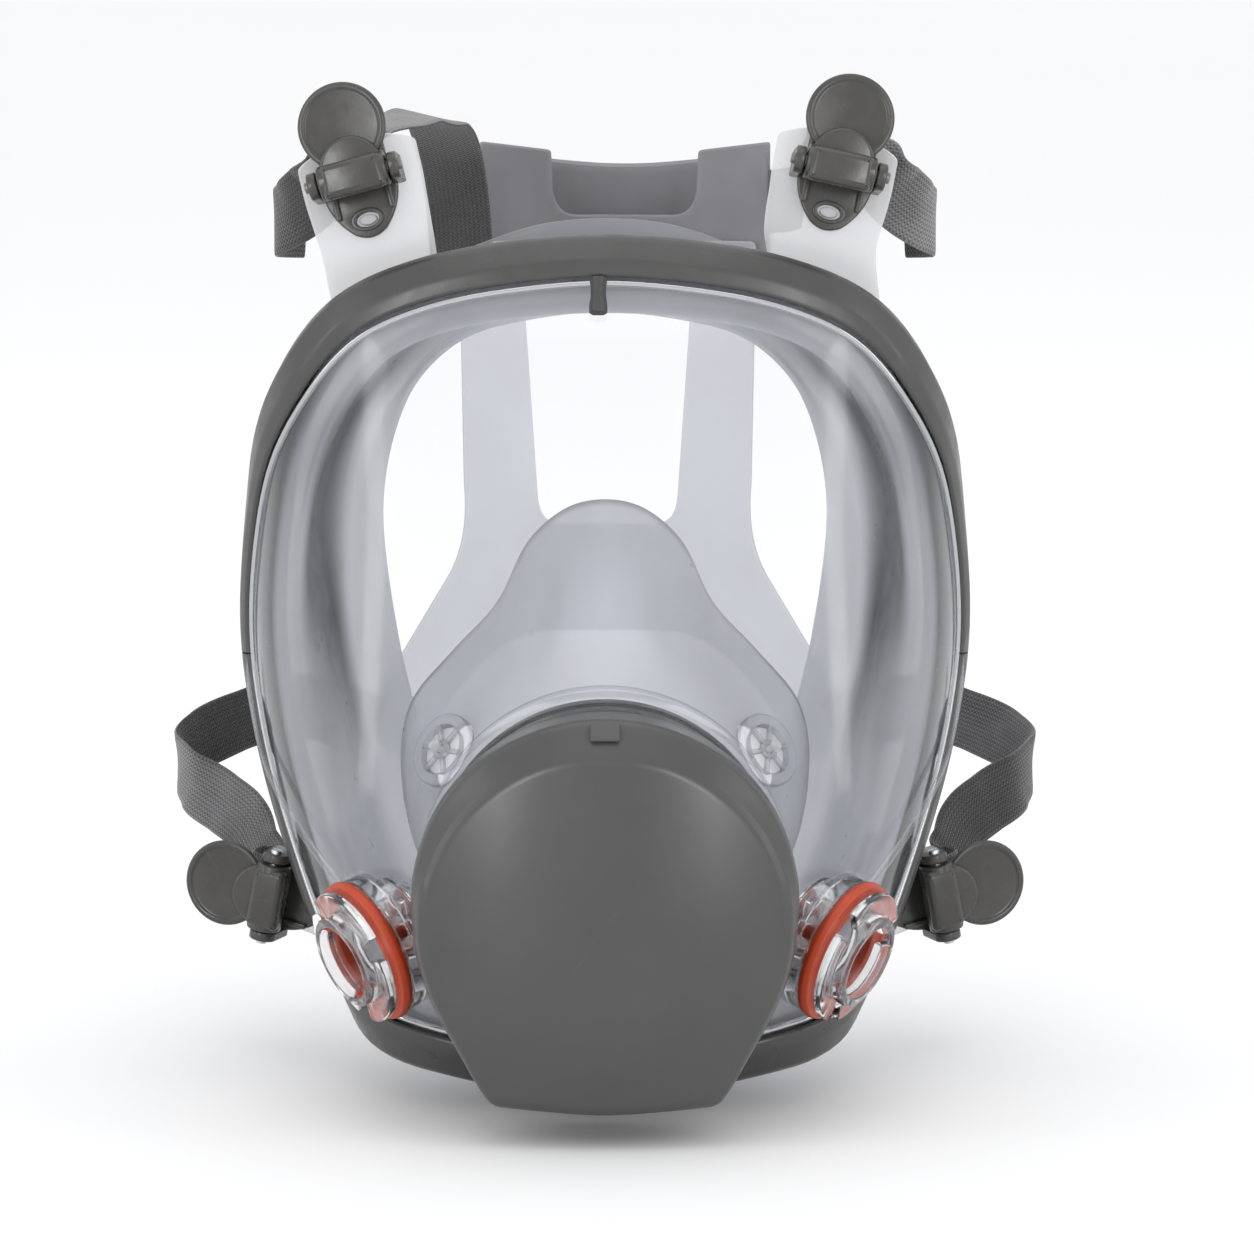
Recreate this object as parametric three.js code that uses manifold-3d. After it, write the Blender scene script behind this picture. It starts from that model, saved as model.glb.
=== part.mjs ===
// Full face respirator: a clear visor and a soft face seal clamped in a two-piece frame, a centre
// adapter with its valve and cover, two bayonet filter ports, a nose cup, and a four-strap head
// harness on cam buckles. Units are millimetres. The wearer's face plane is y = 0, the front of
// the respirator faces -Y, +X is the viewer's right and +Z is up.
import * as THREE from "three";
import { mergeVertices } from "three/addons/utils/BufferGeometryUtils.js";
import Module from "manifold-3d";

const wasm = await Module();
wasm.setup();

// ---------------------------------------------------------------- driving dimensions
const GAP = 0.35; // clearance between pieces that touch
const VISOR_T = 2.5;
const SEAL_T = 2.2;
const LOOP_STEPS = 66; // points round each closed loop: three per station
const PORT_Z = -54.6; // height of the centre port's axis
const COLLAR_R = 44; // outer radius of the visor's centre collar
const COLLAR_BORE_R = 41.6;
const COLLAR_FRONT_Y = -110;
const STRAP_W = 16;
const STRAP_T = 1.2;
const CROWN_X = 5.2; // the crown hangs a little to one side
const CRADLE_X = 0.7;

// The visor's horizontal section at each height: half width, depth of the temple line, depth of
// the front line, and the exponent of its superellipse.
const VISOR_SECTIONS = [
  { z: -116, half: 46, temple: -74, front: -78, power: 2.4 },
  { z: -106, half: 53.5, temple: -62, front: -88, power: 2.4 },
  { z: -90, half: 62.5, temple: -48, front: -98, power: 2.5 },
  { z: -70, half: 72.5, temple: -33, front: -102, power: 2.6 },
  { z: -45, half: 81.5, temple: -20, front: -102, power: 2.6 },
  { z: -20, half: 87.2, temple: -12, front: -101, power: 2.3 },
  { z: 0, half: 88.4, temple: -11, front: -99, power: 2.15 },
  { z: 30, half: 86.2, temple: -12, front: -93, power: 2.1 },
  { z: 60, half: 84.5, temple: -13, front: -82, power: 2.1 },
  { z: 88, half: 83, temple: -15, front: -62, power: 2.1 },
  { z: 98, half: 82, temple: -16, front: -52, power: 2.1 },
];
// The visor's edge at twelve stations from the forehead to the chin: degrees round the section,
// and height.
const VISOR_EDGE = [
  [0, 88.5], [15.6, 86.9], [31.2, 82.6], [46.6, 74.2], [61.3, 58.5], [81, 28.8],
  [86.5, -13.2], [86, -37], [86, -68], [80, -91], [37, -101.6], [0, -106.6],
];
const SPLIT_STATION = 6; // the frame's halves meet at this station, at the temple
// Angles from the top at which the round centre port takes the same stations.
const PORT_ANGLES = [0, 13, 27, 41, 57, 76, 96, 114, 131, 148, 164, 180];

// ---------------------------------------------------------------- small maths
const rad = THREE.MathUtils.degToRad;
const vec = (x, y, z) => new THREE.Vector3(x, y, z);

// A smooth value between knots: a cubic through them with averaged slopes.
function smooth(knots, key, at) {
  const last = knots.length - 1;
  let i = 0;
  while (i < last - 1 && at > knots[i + 1].z) i++;
  const slope = (k) => {
    const a = knots[Math.max(k - 1, 0)];
    const b = knots[Math.min(k + 1, last)];
    return (b[key] - a[key]) / (b.z - a.z);
  };
  const a = knots[i];
  const b = knots[i + 1];
  const h = b.z - a.z;
  const t = (at - a.z) / h;
  const t2 = t * t;
  const t3 = t2 * t;
  return (2 * t3 - 3 * t2 + 1) * a[key] + (t3 - 2 * t2 + t) * h * slope(i) +
    (3 * t2 - 2 * t3) * b[key] + (t3 - t2) * h * slope(i + 1);
}

// A closed smooth loop through stations given for the right half, top to bottom.
function loopThrough(half, steps = LOOP_STEPS) {
  const left = half.slice(1, -1).reverse().map((p) => vec(-p.x, p.y, p.z));
  const curve = new THREE.CatmullRomCurve3([...half, ...left], true, "centripetal");
  return Array.from({ length: steps }, (_, i) => curve.getPoint(i / steps));
}

const points = (rows) => rows.map(([x, y, z]) => vec(x, y, z));

// ---------------------------------------------------------------- solids
function solidOf(geometry) {
  const bare = geometry.clone();
  bare.deleteAttribute("normal");
  bare.deleteAttribute("uv");
  const merged = mergeVertices(bare, 1e-4);
  const triVerts = new Uint32Array(merged.index.array);
  const vertProperties = new Float32Array(merged.attributes.position.array);
  return new wasm.Manifold(new wasm.Mesh({ numProp: 3, vertProperties, triVerts }));
}

function geometryOf(solid) {
  const mesh = solid.getMesh();
  const geometry = new THREE.BufferGeometry();
  geometry.setAttribute("position", new THREE.BufferAttribute(mesh.vertProperties, 3));
  geometry.setIndex(new THREE.BufferAttribute(mesh.triVerts, 1));
  return geometry;
}

const combine = (how) => (first, ...rest) =>
  geometryOf(rest.reduce((sum, g) => sum[how](solidOf(g)), solidOf(first)));
const join = combine("add");
const cut = combine("subtract");
const common = combine("intersect");

// A closed surface from points and triangles, turned so that its faces point out.
function closedSurface(list, triangles) {
  let volume = 0;
  for (let i = 0; i < triangles.length; i += 3) {
    const [a, b, c] = [0, 1, 2].map((k) => list[triangles[i + k]]);
    volume += a.dot(b.clone().cross(c));
  }
  const turned = volume < 0 ? triangles.slice().reverse() : triangles;
  const geometry = new THREE.BufferGeometry().setFromPoints(list);
  geometry.setIndex(turned);
  return geometry;
}

// The unit normals of a grid of points, from the points on each side.
function gridNormals(rows, closed) {
  const n = rows.length;
  return rows.map((row, i) => row.map((_, j) => {
    const before = rows[closed ? (i + n - 1) % n : Math.max(i - 1, 0)][j];
    const after = rows[closed ? (i + 1) % n : Math.min(i + 1, n - 1)][j];
    const left = row[Math.max(j - 1, 0)];
    const right = row[Math.min(j + 1, row.length - 1)];
    return after.clone().sub(before).cross(right.clone().sub(left)).normalize();
  }));
}

// A sheet of material over a grid of points: `plus` thick along the grid's normals and `minus`
// thick against them. A closed sheet joins its last row to its first; a capped one narrows to
// the centre of its last column.
function sheet(rows, plus, minus, { closed = false, capped = false } = {}) {
  const normals = gridNormals(rows, closed);
  const [n, m] = [rows.length, rows[0].length];
  const side = (depth) => rows.flatMap((row, i) =>
    row.map((p, j) => p.clone().addScaledVector(normals[i][j], depth)));
  const list = [...side(plus), ...side(-minus)];
  const at = (i, j, face) => face * n * m + (i % n) * m + j;
  const triangles = [];
  const quad = (a, b, c, d) => triangles.push(a, b, c, a, c, d);
  const spans = closed ? n : n - 1;
  for (let i = 0; i < spans; i++) {
    for (let j = 0; j < m - 1; j++) {
      quad(at(i, j, 0), at(i + 1, j, 0), at(i + 1, j + 1, 0), at(i, j + 1, 0));
      quad(at(i, j, 1), at(i, j + 1, 1), at(i + 1, j + 1, 1), at(i + 1, j, 1));
    }
    quad(at(i, 0, 0), at(i, 0, 1), at(i + 1, 0, 1), at(i + 1, 0, 0));
    if (!capped) quad(at(i, m - 1, 0), at(i + 1, m - 1, 0), at(i + 1, m - 1, 1), at(i, m - 1, 1));
  }
  if (capped) {
    for (const face of [0, 1]) {
      const centre = vec(0, 0, 0);
      for (let i = 0; i < n; i++) centre.addScaledVector(list[at(i, m - 1, face)], 1 / n);
      list.push(centre);
      for (let i = 0; i < n; i++) {
        const edge = [at(i, m - 1, face), at(i + 1, m - 1, face)];
        triangles.push(list.length - 1, ...(face ? edge.reverse() : edge));
      }
    }
  }
  if (!closed) {
    for (let j = 0; j < m - 1; j++) {
      quad(at(0, j, 0), at(0, j + 1, 0), at(0, j + 1, 1), at(0, j, 1));
      quad(at(n - 1, j, 0), at(n - 1, j, 1), at(n - 1, j + 1, 1), at(n - 1, j + 1, 0));
    }
  }
  return closedSurface(list, triangles);
}

// A section swept along frames {at, x, y}: each section point [u, v] goes to at + u x + v y.
function sweep(frames, section) {
  const m = section.length;
  const list = frames.flatMap(({ at, x, y }) =>
    section.map(([u, v]) => at.clone().addScaledVector(x, u).addScaledVector(y, v)));
  const triangles = [];
  for (let i = 0; i < frames.length - 1; i++) {
    for (let j = 0; j < m; j++) {
      const [a, b] = [i * m + j, i * m + ((j + 1) % m)];
      triangles.push(a, b, b + m, a, b + m, a + m);
    }
  }
  const last = (frames.length - 1) * m;
  const flat = section.map(([u, v]) => new THREE.Vector2(u, v));
  const turn = (corners) => Math.sign(THREE.ShapeUtils.area(corners));
  for (const face of THREE.ShapeUtils.triangulateShape(flat, [])) {
    const forward = turn(face.map((k) => flat[k])) === turn(flat) ? face : face.slice().reverse();
    triangles.push(...forward.slice().reverse(), ...forward.map((k) => last + k));
  }
  return closedSurface(list, triangles);
}

// A turned piece about the Y axis through (0, PORT_Z): its profile is [radius, y] points.
function turned(profile, steps = 36) {
  const closedProfile = [...profile, profile[0]].map(([r, y]) => new THREE.Vector2(r, y));
  const lathe = new THREE.LatheGeometry(closedProfile, steps);
  return closedUp(lathe).translate(0, 0, PORT_Z);
}

// A piece turned about local Z, from [radius, height] points.
function turnedOnZ(profile, steps = 24) {
  const closedProfile = [...profile, profile[0]].map(([r, z]) => new THREE.Vector2(r, z));
  return closedUp(new THREE.LatheGeometry(closedProfile, steps)).rotateX(Math.PI / 2);
}

// Merges a three.js geometry's seams and turns its faces out.
function closedUp(geometry) {
  const bare = geometry.clone();
  bare.deleteAttribute("normal");
  bare.deleteAttribute("uv");
  const merged = mergeVertices(bare, 1e-4);
  const position = merged.attributes.position;
  const list = Array.from({ length: position.count }, (_, i) =>
    vec(position.getX(i), position.getY(i), position.getZ(i)));
  const kept = [];
  const index = merged.index.array;
  for (let i = 0; i < index.length; i += 3) {
    const [a, b, c] = [index[i], index[i + 1], index[i + 2]];
    if (a !== b && b !== c && a !== c) kept.push(a, b, c);
  }
  return closedSurface(list, kept);
}

const box = (x0, x1, y0, y1, z0, z1) => closedUp(new THREE.BoxGeometry(x1 - x0, y1 - y0, z1 - z0)
  .translate((x0 + x1) / 2, (y0 + y1) / 2, (z0 + z1) / 2));
const rod = (radius, length, steps = 20) =>
  closedUp(new THREE.CylinderGeometry(radius, radius, length, steps));

// A flat shape in the X-Z plane, given thickness from y0 to y1.
function upright(shape, y0, y1, segments = 6) {
  const flat = new THREE.ExtrudeGeometry(shape,
    { depth: y1 - y0, bevelEnabled: false, curveSegments: segments });
  return closedUp(flat.rotateX(Math.PI / 2).translate(0, y1, 0));
}

// ---------------------------------------------------------------- the visor's surface
function visorPoint(degrees, z) {
  const at = (key) => smooth(VISOR_SECTIONS, key, z);
  const [half, temple, front, power] = ["half", "temple", "front", "power"].map(at);
  const [s, c] = [Math.sin(rad(degrees)), Math.cos(rad(degrees))];
  const r = (Math.abs(s) ** power + Math.abs(c) ** power) ** (-1 / power);
  return vec(half * r * s, front + (temple - front) * (1 - r * c), z);
}

// The degrees round the section at which the visor is x wide.
function visorDegrees(x, z) {
  const share = x / smooth(VISOR_SECTIONS, "half", z);
  const power = smooth(VISOR_SECTIONS, "power", z);
  const depth = (1 - Math.abs(share) ** power) ** (1 / power);
  return THREE.MathUtils.radToDeg(Math.atan2(share, depth));
}

function visorNormal(degrees, z) {
  const across = visorPoint(degrees + 0.5, z).sub(visorPoint(degrees - 0.5, z));
  const up = visorPoint(degrees, z + 0.5).sub(visorPoint(degrees, z - 0.5));
  return across.cross(up).normalize();
}

const EDGE_DOMAIN = loopThrough(VISOR_EDGE.map(([degrees, z]) => vec(degrees, 0, z)));

// At each point of the visor's edge: the point, the outward normal of the visor, and the
// direction in its surface that points away from the visor.
const EDGE_FRAMES = EDGE_DOMAIN.map(({ x: degrees, z }, i) => {
  const at = visorPoint(degrees, z);
  const normal = visorNormal(degrees, z);
  const next = EDGE_DOMAIN[(i + 1) % LOOP_STEPS];
  const last = EDGE_DOMAIN[(i + LOOP_STEPS - 1) % LOOP_STEPS];
  const along = visorPoint(next.x, next.z).sub(visorPoint(last.x, last.z)).normalize();
  const out = normal.clone().cross(along).normalize();
  return { at, x: out, y: normal, along };
});
const STATION_STEPS = LOOP_STEPS / (2 * (VISOR_EDGE.length - 1));
const edgePoint = (i, out, off) => {
  const { at, x, y } = EDGE_FRAMES[i];
  return at.clone().addScaledVector(x, out).addScaledVector(y, off);
};

// ---------------------------------------------------------------- visor
const portRing = PORT_ANGLES.map((angle) => {
  const r = (COLLAR_R + COLLAR_BORE_R) / 2;
  const [x, z] = [r * Math.sin(rad(angle)), PORT_Z + r * Math.cos(rad(angle))];
  return vec(visorDegrees(x, z), 0, z);
});

// Where each filter port leaves the visor, and the way it points; the left one is its mirror.
const PORT_BASE = vec(52.2, -89, -72.7);
const PORT_AXIS = vec(0.81, -0.48, -0.34).normalize();
const portMatrix = (side) => {
  const z = PORT_AXIS.clone().multiply(vec(side, 1, 1));
  const y = vec(0, 0, 1).addScaledVector(z, -z.z).normalize();
  const x = y.clone().cross(z);
  const base = PORT_BASE.clone().multiply(vec(side, 1, 1));
  return new THREE.Matrix4().makeBasis(x, y, z).setPosition(base);
};

function visor() {
  const inner = loopThrough(portRing);
  const columns = 5;
  const rows = EDGE_DOMAIN.map((edge, i) => Array.from({ length: columns }, (_, j) => {
    const p = edge.clone().lerp(inner[i], j / (columns - 1));
    return visorPoint(p.x, p.z);
  }));
  const shell = sheet(rows, VISOR_T, 0, { closed: true });
  const collar = turned([
    [COLLAR_R, COLLAR_FRONT_Y], [COLLAR_R, -91], [COLLAR_BORE_R, -91], [COLLAR_BORE_R, -99.6],
    [38.4, -99.6], [38.4, -101.8], [COLLAR_BORE_R, -101.8], [COLLAR_BORE_R, COLLAR_FRONT_Y],
  ]);
  let body = join(shell, collar);
  for (const side of [1, -1]) {
    const matrix = portMatrix(side);
    const boss = turnedOnZ([[0, -3], [15.6, -3], [18.4, -0.3], [0, -0.3]]);
    const seat = turnedOnZ([[0, -0.3], [19.5, -0.3], [19.5, 12], [0, 12]]);
    const bore = turnedOnZ([[0, -20], [14.3, -20], [14.3, 1], [0, 1]]);
    body = cut(join(body, placed(boss, matrix)), placed(seat, matrix), placed(bore, matrix));
  }
  return body;
}

// ---------------------------------------------------------------- frame
// The channel's section: u points out of the visor, v out of its face.
const FRAME_SECTION = [
  [-6.4, 0.8], [-6.2, 1.9], [-3, 3.3], [3.4, 3.3], [6.2, 1.4], [6.4, -6.6], [5, -8.3],
  [-2.6, -8.3], [-2.6, -6.7], [1.6, -6.5], [1.6, 0.8],
];
const TEMPLE = SPLIT_STATION * STATION_STEPS;
const SCREW_AT = [9.6, -4]; // the frame screw's place in the section

function frameRun(from, to) {
  return Array.from({ length: to - from + 1 }, (_, k) => {
    return EDGE_FRAMES[(from + k + LOOP_STEPS) % LOOP_STEPS];
  });
}

// Trims a run of frames by `amount` at both ends, so that the halves don't touch.
function trimmed(frames, amount) {
  const ends = [[0, 1], [frames.length - 1, frames.length - 2]];
  const made = frames.slice();
  for (const [end, next] of ends) {
    const way = frames[next].at.clone().sub(frames[end].at).normalize();
    made[end] = { ...frames[end], at: frames[end].at.clone().addScaledVector(way, amount) };
  }
  return made;
}

// Local axes at the temple on one side: u out of the visor, v out of its face, w up.
function templeMatrix(side) {
  const { at, x, y } = EDGE_FRAMES[TEMPLE];
  const up = x.clone().cross(y).normalize();
  if (up.z < 0) up.negate();
  const turn = new THREE.Matrix4().makeBasis(x, up.clone().cross(x).normalize(), up);
  turn.setPosition(at);
  return side > 0 ? turn : new THREE.Matrix4().makeScale(-1, 1, 1).multiply(turn);
}

const placed = (geometry, matrix) => closedUp(geometry.applyMatrix4(matrix));
const TEMPLE_OUT = (() => { // +1 where the temple's local second axis points out of the visor
  const m = templeMatrix(1).elements;
  return Math.sign(vec(m[4], m[5], m[6]).dot(EDGE_FRAMES[TEMPLE].y));
})();

function screwEar(side, low, high) {
  const [u, v] = SCREW_AT;
  const [v0, v1] = [(v - 3.2) * TEMPLE_OUT, (v + 3.2) * TEMPLE_OUT].sort((a, b) => a - b);
  const ear = box(5.6, u + 3.4, v0, v1, low, high);
  const hole = rod(1.95, 40, 16).rotateX(Math.PI / 2).translate(u, v * TEMPLE_OUT, 0);
  return [placed(ear, templeMatrix(side)), placed(hole, templeMatrix(side))];
}

function frameHalf(from, to, low, high) {
  let body = sweep(trimmed(frameRun(from, to), 0.25), FRAME_SECTION);
  for (const side of [1, -1]) {
    const [ear, hole] = screwEar(side, low, high);
    body = cut(join(body, ear), hole);
  }
  return body;
}

function frameScrew(side) {
  const [u, v] = SCREW_AT;
  const profile = [[0, -8.6], [1.6, -8.6], [1.6, 6.3], [2.9, 6.3], [2.9, 8], [1.2, 8.4], [1.2, 7.2], [0, 7.2]];
  return placed(turnedOnZ(profile, 16).translate(u, v * TEMPLE_OUT, 0), templeMatrix(side));
}

function frameNut(side) {
  const [u, v] = SCREW_AT;
  const profile = [[1.95, -8.4], [3.2, -8.4], [3.2, -6.3], [1.95, -6.3]];
  return placed(turnedOnZ(profile, 6).translate(u, v * TEMPLE_OUT, 0), templeMatrix(side));
}

// The small tongue that keys the visor to the frame at the forehead.
function visorClip() {
  const rows = [75.5, 78, 80.5, 82.8].map((z) => {
    const at = visorPoint(0, z).addScaledVector(visorNormal(0, z), 1.6);
    return [-2.9, -0.3].map((x) => at.clone().add(vec(x, 0, 0)));
  });
  return sheet(rows, 1.1, 1.1);
}

// ---------------------------------------------------------------- buckles
// Each buckle's pivot foot on its tab, the way its thumb disc points, and the way it faces.
const lean = (degrees, back) => vec(Math.sin(rad(degrees)), back, Math.cos(rad(degrees)));
const BUCKLES = {
  upper_left: { at: vec(-59.8, -44, 106.2), up: lean(-14.5, 0.2), out: vec(-0.1, -1, 0.12) },
  upper_right: { at: vec(56.2, -44, 108), up: lean(12, 0.2), out: vec(0.06, -1, 0.12) },
  lower_left: { at: vec(-81.5, -20, -74.3), up: vec(-0.92, 0.34, 0.19), out: vec(-0.3, -0.95, 0) },
  lower_right: { at: vec(81.5, -20, -74.3), up: vec(0.92, 0.34, 0.19), out: vec(0.3, -0.95, 0) },
};
const AXLE_H = 8.2; // the lever's axle stands this far off the tab
const AXLE_R = 1.4;
const AXLE_BORE_R = 1.5;
const BASE_T = 2;

function buckleMatrix(name) {
  const { at, up, out } = BUCKLES[name];
  const y = up.clone().normalize();
  const z = out.clone().addScaledVector(y, -out.dot(y)).normalize();
  return new THREE.Matrix4().makeBasis(y.clone().cross(z), y, z).setPosition(at);
}

// The plate on the tab: a rounded tongue with an oval hole, and an ear at each side.
function buckleBase() {
  const plate = new THREE.Shape();
  plate.moveTo(-9.3, 2.6);
  plate.lineTo(-9.3, -2.5);
  plate.quadraticCurveTo(-8.8, -8.5, -4, -13.2);
  plate.quadraticCurveTo(0, -16, 4, -13.2);
  plate.quadraticCurveTo(8.8, -8.5, 9.3, -2.5);
  plate.lineTo(9.3, 2.6);
  const hole = new THREE.Path();
  hole.absellipse(0, -10.2, 2.9, 1.8, 0, 2 * Math.PI);
  plate.holes.push(hole);
  const flat = new THREE.ExtrudeGeometry(plate,
    { depth: BASE_T, bevelEnabled: false, curveSegments: 6 });
  const ears = [1, -1].map((side) => box(...[8.9 * side, 11.3 * side].sort((a, b) => a - b),
    -3.4, 3.4, 0, AXLE_H + 2.9));
  const bore = rod(AXLE_BORE_R, 40, 14).rotateZ(Math.PI / 2).translate(0, 0, AXLE_H);
  return cut(join(closedUp(flat), ...ears), bore);
}

// The lever: a cam drum on the axle, and the round thumb disc that opens it.
function buckleLever() {
  const drum = rod(4.3, 17, 24).rotateZ(Math.PI / 2).translate(0, 0, AXLE_H);
  const disc = rod(10.8, 2, 28).rotateX(Math.PI / 2).translate(0, 12.6, AXLE_H - 1.4);
  const neck = box(-6.2, 6.2, 1.5, 8, AXLE_H - 2.4, AXLE_H + 2.2);
  const bore = rod(AXLE_BORE_R, 40, 14).rotateZ(Math.PI / 2).translate(0, 0, AXLE_H);
  return cut(join(drum, disc, neck), bore);
}

const bucklePin = () => rod(AXLE_R, 24.4, 14).rotateZ(Math.PI / 2).translate(0, 0, AXLE_H);

// ---------------------------------------------------------------- face seal
// Rings of the seal behind its flange, at the twelve stations: the crease at the front of its
// wall, the back of the wall, the rearmost bulge, and the lip round the face opening.
const SEAL_RINGS = [
  [[0, -54, 79.5], [21, -52, 78.5], [41.5, -45, 71.5], [57, -34, 60.5], [68.5, -24, 44.5],
    [74.5, -16.5, 22], [72, -15, -13], [66.5, -21, -37], [61.5, -32, -63], [48, -46, -85],
    [26, -60, -94.5], [0, -64, -96.5]],
  [[0, -19, 79.5], [19.5, -17, 77], [38.5, -10, 70], [52.5, -1, 58.5], [63, 5, 43],
    [68, 9, 20.5], [67, 10, -13], [62.5, 6, -37], [56, -4, -62.5], [43, -17, -85],
    [23, -27, -96], [0, -31, -99]],
  [[0, -12.5, 75.8], [18, -10.5, 73.3], [35.5, -3.5, 66.5], [48.5, 4.5, 55.5], [58, 9.5, 41],
    [62.5, 13, 20], [61, 13.5, -13], [56.5, 10, -36.5], [49.5, 1, -61], [37, -11, -81],
    [19.5, -21, -90.5], [0, -25, -93.5]],
  [[0, -13.5, 71.8], [17.5, -11.5, 70], [34, -5, 65], [46, 2, 55], [53, 7, 41.5],
    [57, 10.5, 20], [53.5, 10.5, -13], [47.5, 7, -37], [39, -1, -60], [29, -13, -76],
    [15.5, -22, -85], [0, -25.5, -88]],
];

// A tab from the seal's wall, past the back of the frame, to its buckle. Its rows run across the
// tab; `widths` gives each row's width from the root to the tip, `inward` how far the tip leans
// towards the middle, and `tip` where it ends beyond the buckle's foot.
function sealTab(name, edgeIndex, { widths, inward, tip }) {
  const matrix = buckleMatrix(name);
  const side = name.endsWith("left") ? 1 : -1;
  const across = vec(1, 0, 0).transformDirection(matrix);
  const local = (y) => vec(0, y, -GAP - SEAL_T / 2).applyMatrix4(matrix);
  const i = (edgeIndex + LOOP_STEPS) % LOOP_STEPS;
  const frame = EDGE_FRAMES[i];
  const rootAcross = frame.along.clone().multiplyScalar(Math.sign(frame.along.dot(across)));
  const path = new THREE.CatmullRomCurve3([
    edgePoint(i, -11, -11.5), edgePoint(i, -3, -13.2), edgePoint(i, 7.5, -13.4),
    local(-17), local(-6), local(tip - 5), local(tip),
  ], false, "centripetal");
  const rows = widths.map((width, k) => {
    const share = k / (widths.length - 1);
    const way = rootAcross.clone().lerp(across, Math.min(1, share * 2)).normalize();
    const at = path.getPoint(share).addScaledVector(across, side * inward * share);
    return [-0.5, 0, 0.5].map((s) => at.clone().addScaledVector(way, s * width));
  });
  const stud = rod(1, 3.4, 14).scale(2.2, 1, 1.25).rotateX(Math.PI / 2).translate(0, -10.2, 0.1);
  return [sheet(rows, SEAL_T / 2, SEAL_T / 2), placed(stud, matrix)];
}

// The translucent brim that shows above the frame at the forehead.
function sealBrim() {
  const reach = 8;
  const rows = Array.from({ length: 2 * reach + 1 }, (_, k) => {
    const i = (k - reach + LOOP_STEPS) % LOOP_STEPS;
    const top = 5.8 + 11.5 * Math.cos((k / reach - 1) * Math.PI / 2) ** 1.5;
    return [[-12, -9.5], [-3, -10.8], [5.2, -10.6], [top, -8.8]].map(([out, off]) => edgePoint(i, out, off));
  });
  return sheet(rows, 0.9, 0.9);
}

const SEAL_FLANGE = [[-0.9, -4.9], [-6.4, -6.4], [-7.2, -10.9]];

function sealRows() {
  const rings = SEAL_RINGS.map((ring) => loopThrough(points(ring)));
  return EDGE_FRAMES.map((_, i) => [
    ...SEAL_FLANGE.map(([out, off]) => edgePoint(i, out, off)), ...rings.map((ring) => ring[i]),
  ]);
}

function faceSeal() {
  const skirt = sheet(sealRows(), SEAL_T / 2, SEAL_T / 2, { closed: true });
  const upper = { widths: [27, 27, 27, 26, 26, 27, 28, 28, 19], inward: 0.8, tip: 9.5 };
  const lower = { widths: [19, 18, 17, 16, 16, 16, 16, 15, 12], inward: 0, tip: 6.5 };
  return join(skirt, sealBrim(),
    ...sealTab("upper_right", 8, upper), ...sealTab("upper_left", -8, upper),
    ...sealTab("lower_right", 24, lower), ...sealTab("lower_left", -24, lower));
}

// ---------------------------------------------------------------- centre adapter and valve
function centreAdapter() {
  const shell = turned([
    [41.1, -110.6], [41.1, -104.6], [37.6, -104.6], [37.6, -92.5], [29, -90.5], [29, -77],
    [26.4, -77], [26.4, -93], [17, -94.5], [17, -99], [19, -99], [19, -97.2], [35, -95.2],
    [35, -107.5], [38.5, -110.6],
  ]);
  const spokes = [0, 1].map((k) => box(-17.6, 17.6, -97.6, -95.4, -1.1, 1.1)
    .rotateY(k * Math.PI / 2).translate(0, 0, PORT_Z));
  const hub = turned([[1.9, -98.4], [4, -98.4], [4, -95], [1.9, -95]], 16);
  const hole = turned([[0, -100], [1.9, -100], [1.9, -90], [0, -90]], 16);
  return join(cut(join(shell, ...spokes), hole), hub);
}

const exhalationValve = () => turned([[0, -100.6], [18.3, -100.2], [18.3, -99.35],
  [1.5, -99.35], [1.5, -92.9], [2.6, -92.4], [1, -90], [0, -90]], 28);
const adapterGasket = () => turned([[38.5, -104.2], [41.2, -104.2], [41.2, -102.2], [38.5, -102.2]]);
const adapterLockRing = () => turned([[38, -99.2], [41.2, -99.2], [41.2, -94.6], [38, -94.6]]);
const noseCupClamp = () => turned([[31.6, -86], [33.3, -86], [33.3, -82], [31.6, -82]], 32);

// ---------------------------------------------------------------- valve cover
const COVER_EDGE = points([
  [0, -111.4, -15.7], [14.9, -111.4, -18.3], [28, -111.4, -25.9], [37.8, -111.4, -37.4],
  [42.8, -111.4, -51.4], [43.1, -111.4, -63.5], [41.2, -111.4, -75], [38.4, -111.2, -84],
  [34.4, -111, -92.5], [28.6, -103.5, -103.4], [17, -103, -104.9], [0, -102.6, -105.6],
]);
const COVER_CENTRE_Z = -60;
const COVER_FRONT_Y = -130;

function valveCover() {
  const edge = loopThrough(COVER_EDGE, 44);
  const front = (x, z) => COVER_FRONT_Y + 0.0052 * x * x + 0.0019 * (z - COVER_CENTRE_Z) ** 2;
  const rows = edge.map((p) => [1, 1.002, 0.985, 0.945, 0.87, 0.66, 0.36].map((share, k) => {
    const [x, z] = [p.x * share, COVER_CENTRE_Z + (p.z - COVER_CENTRE_Z) * share];
    const rim = [1, 0.55, 0.24, 0.07, 0, 0, 0][k];
    return vec(x, front(x, z) * (1 - rim) + p.y * rim, z);
  }));
  return sheet(rows, 2, 0, { closed: true, capped: true });
}

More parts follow.
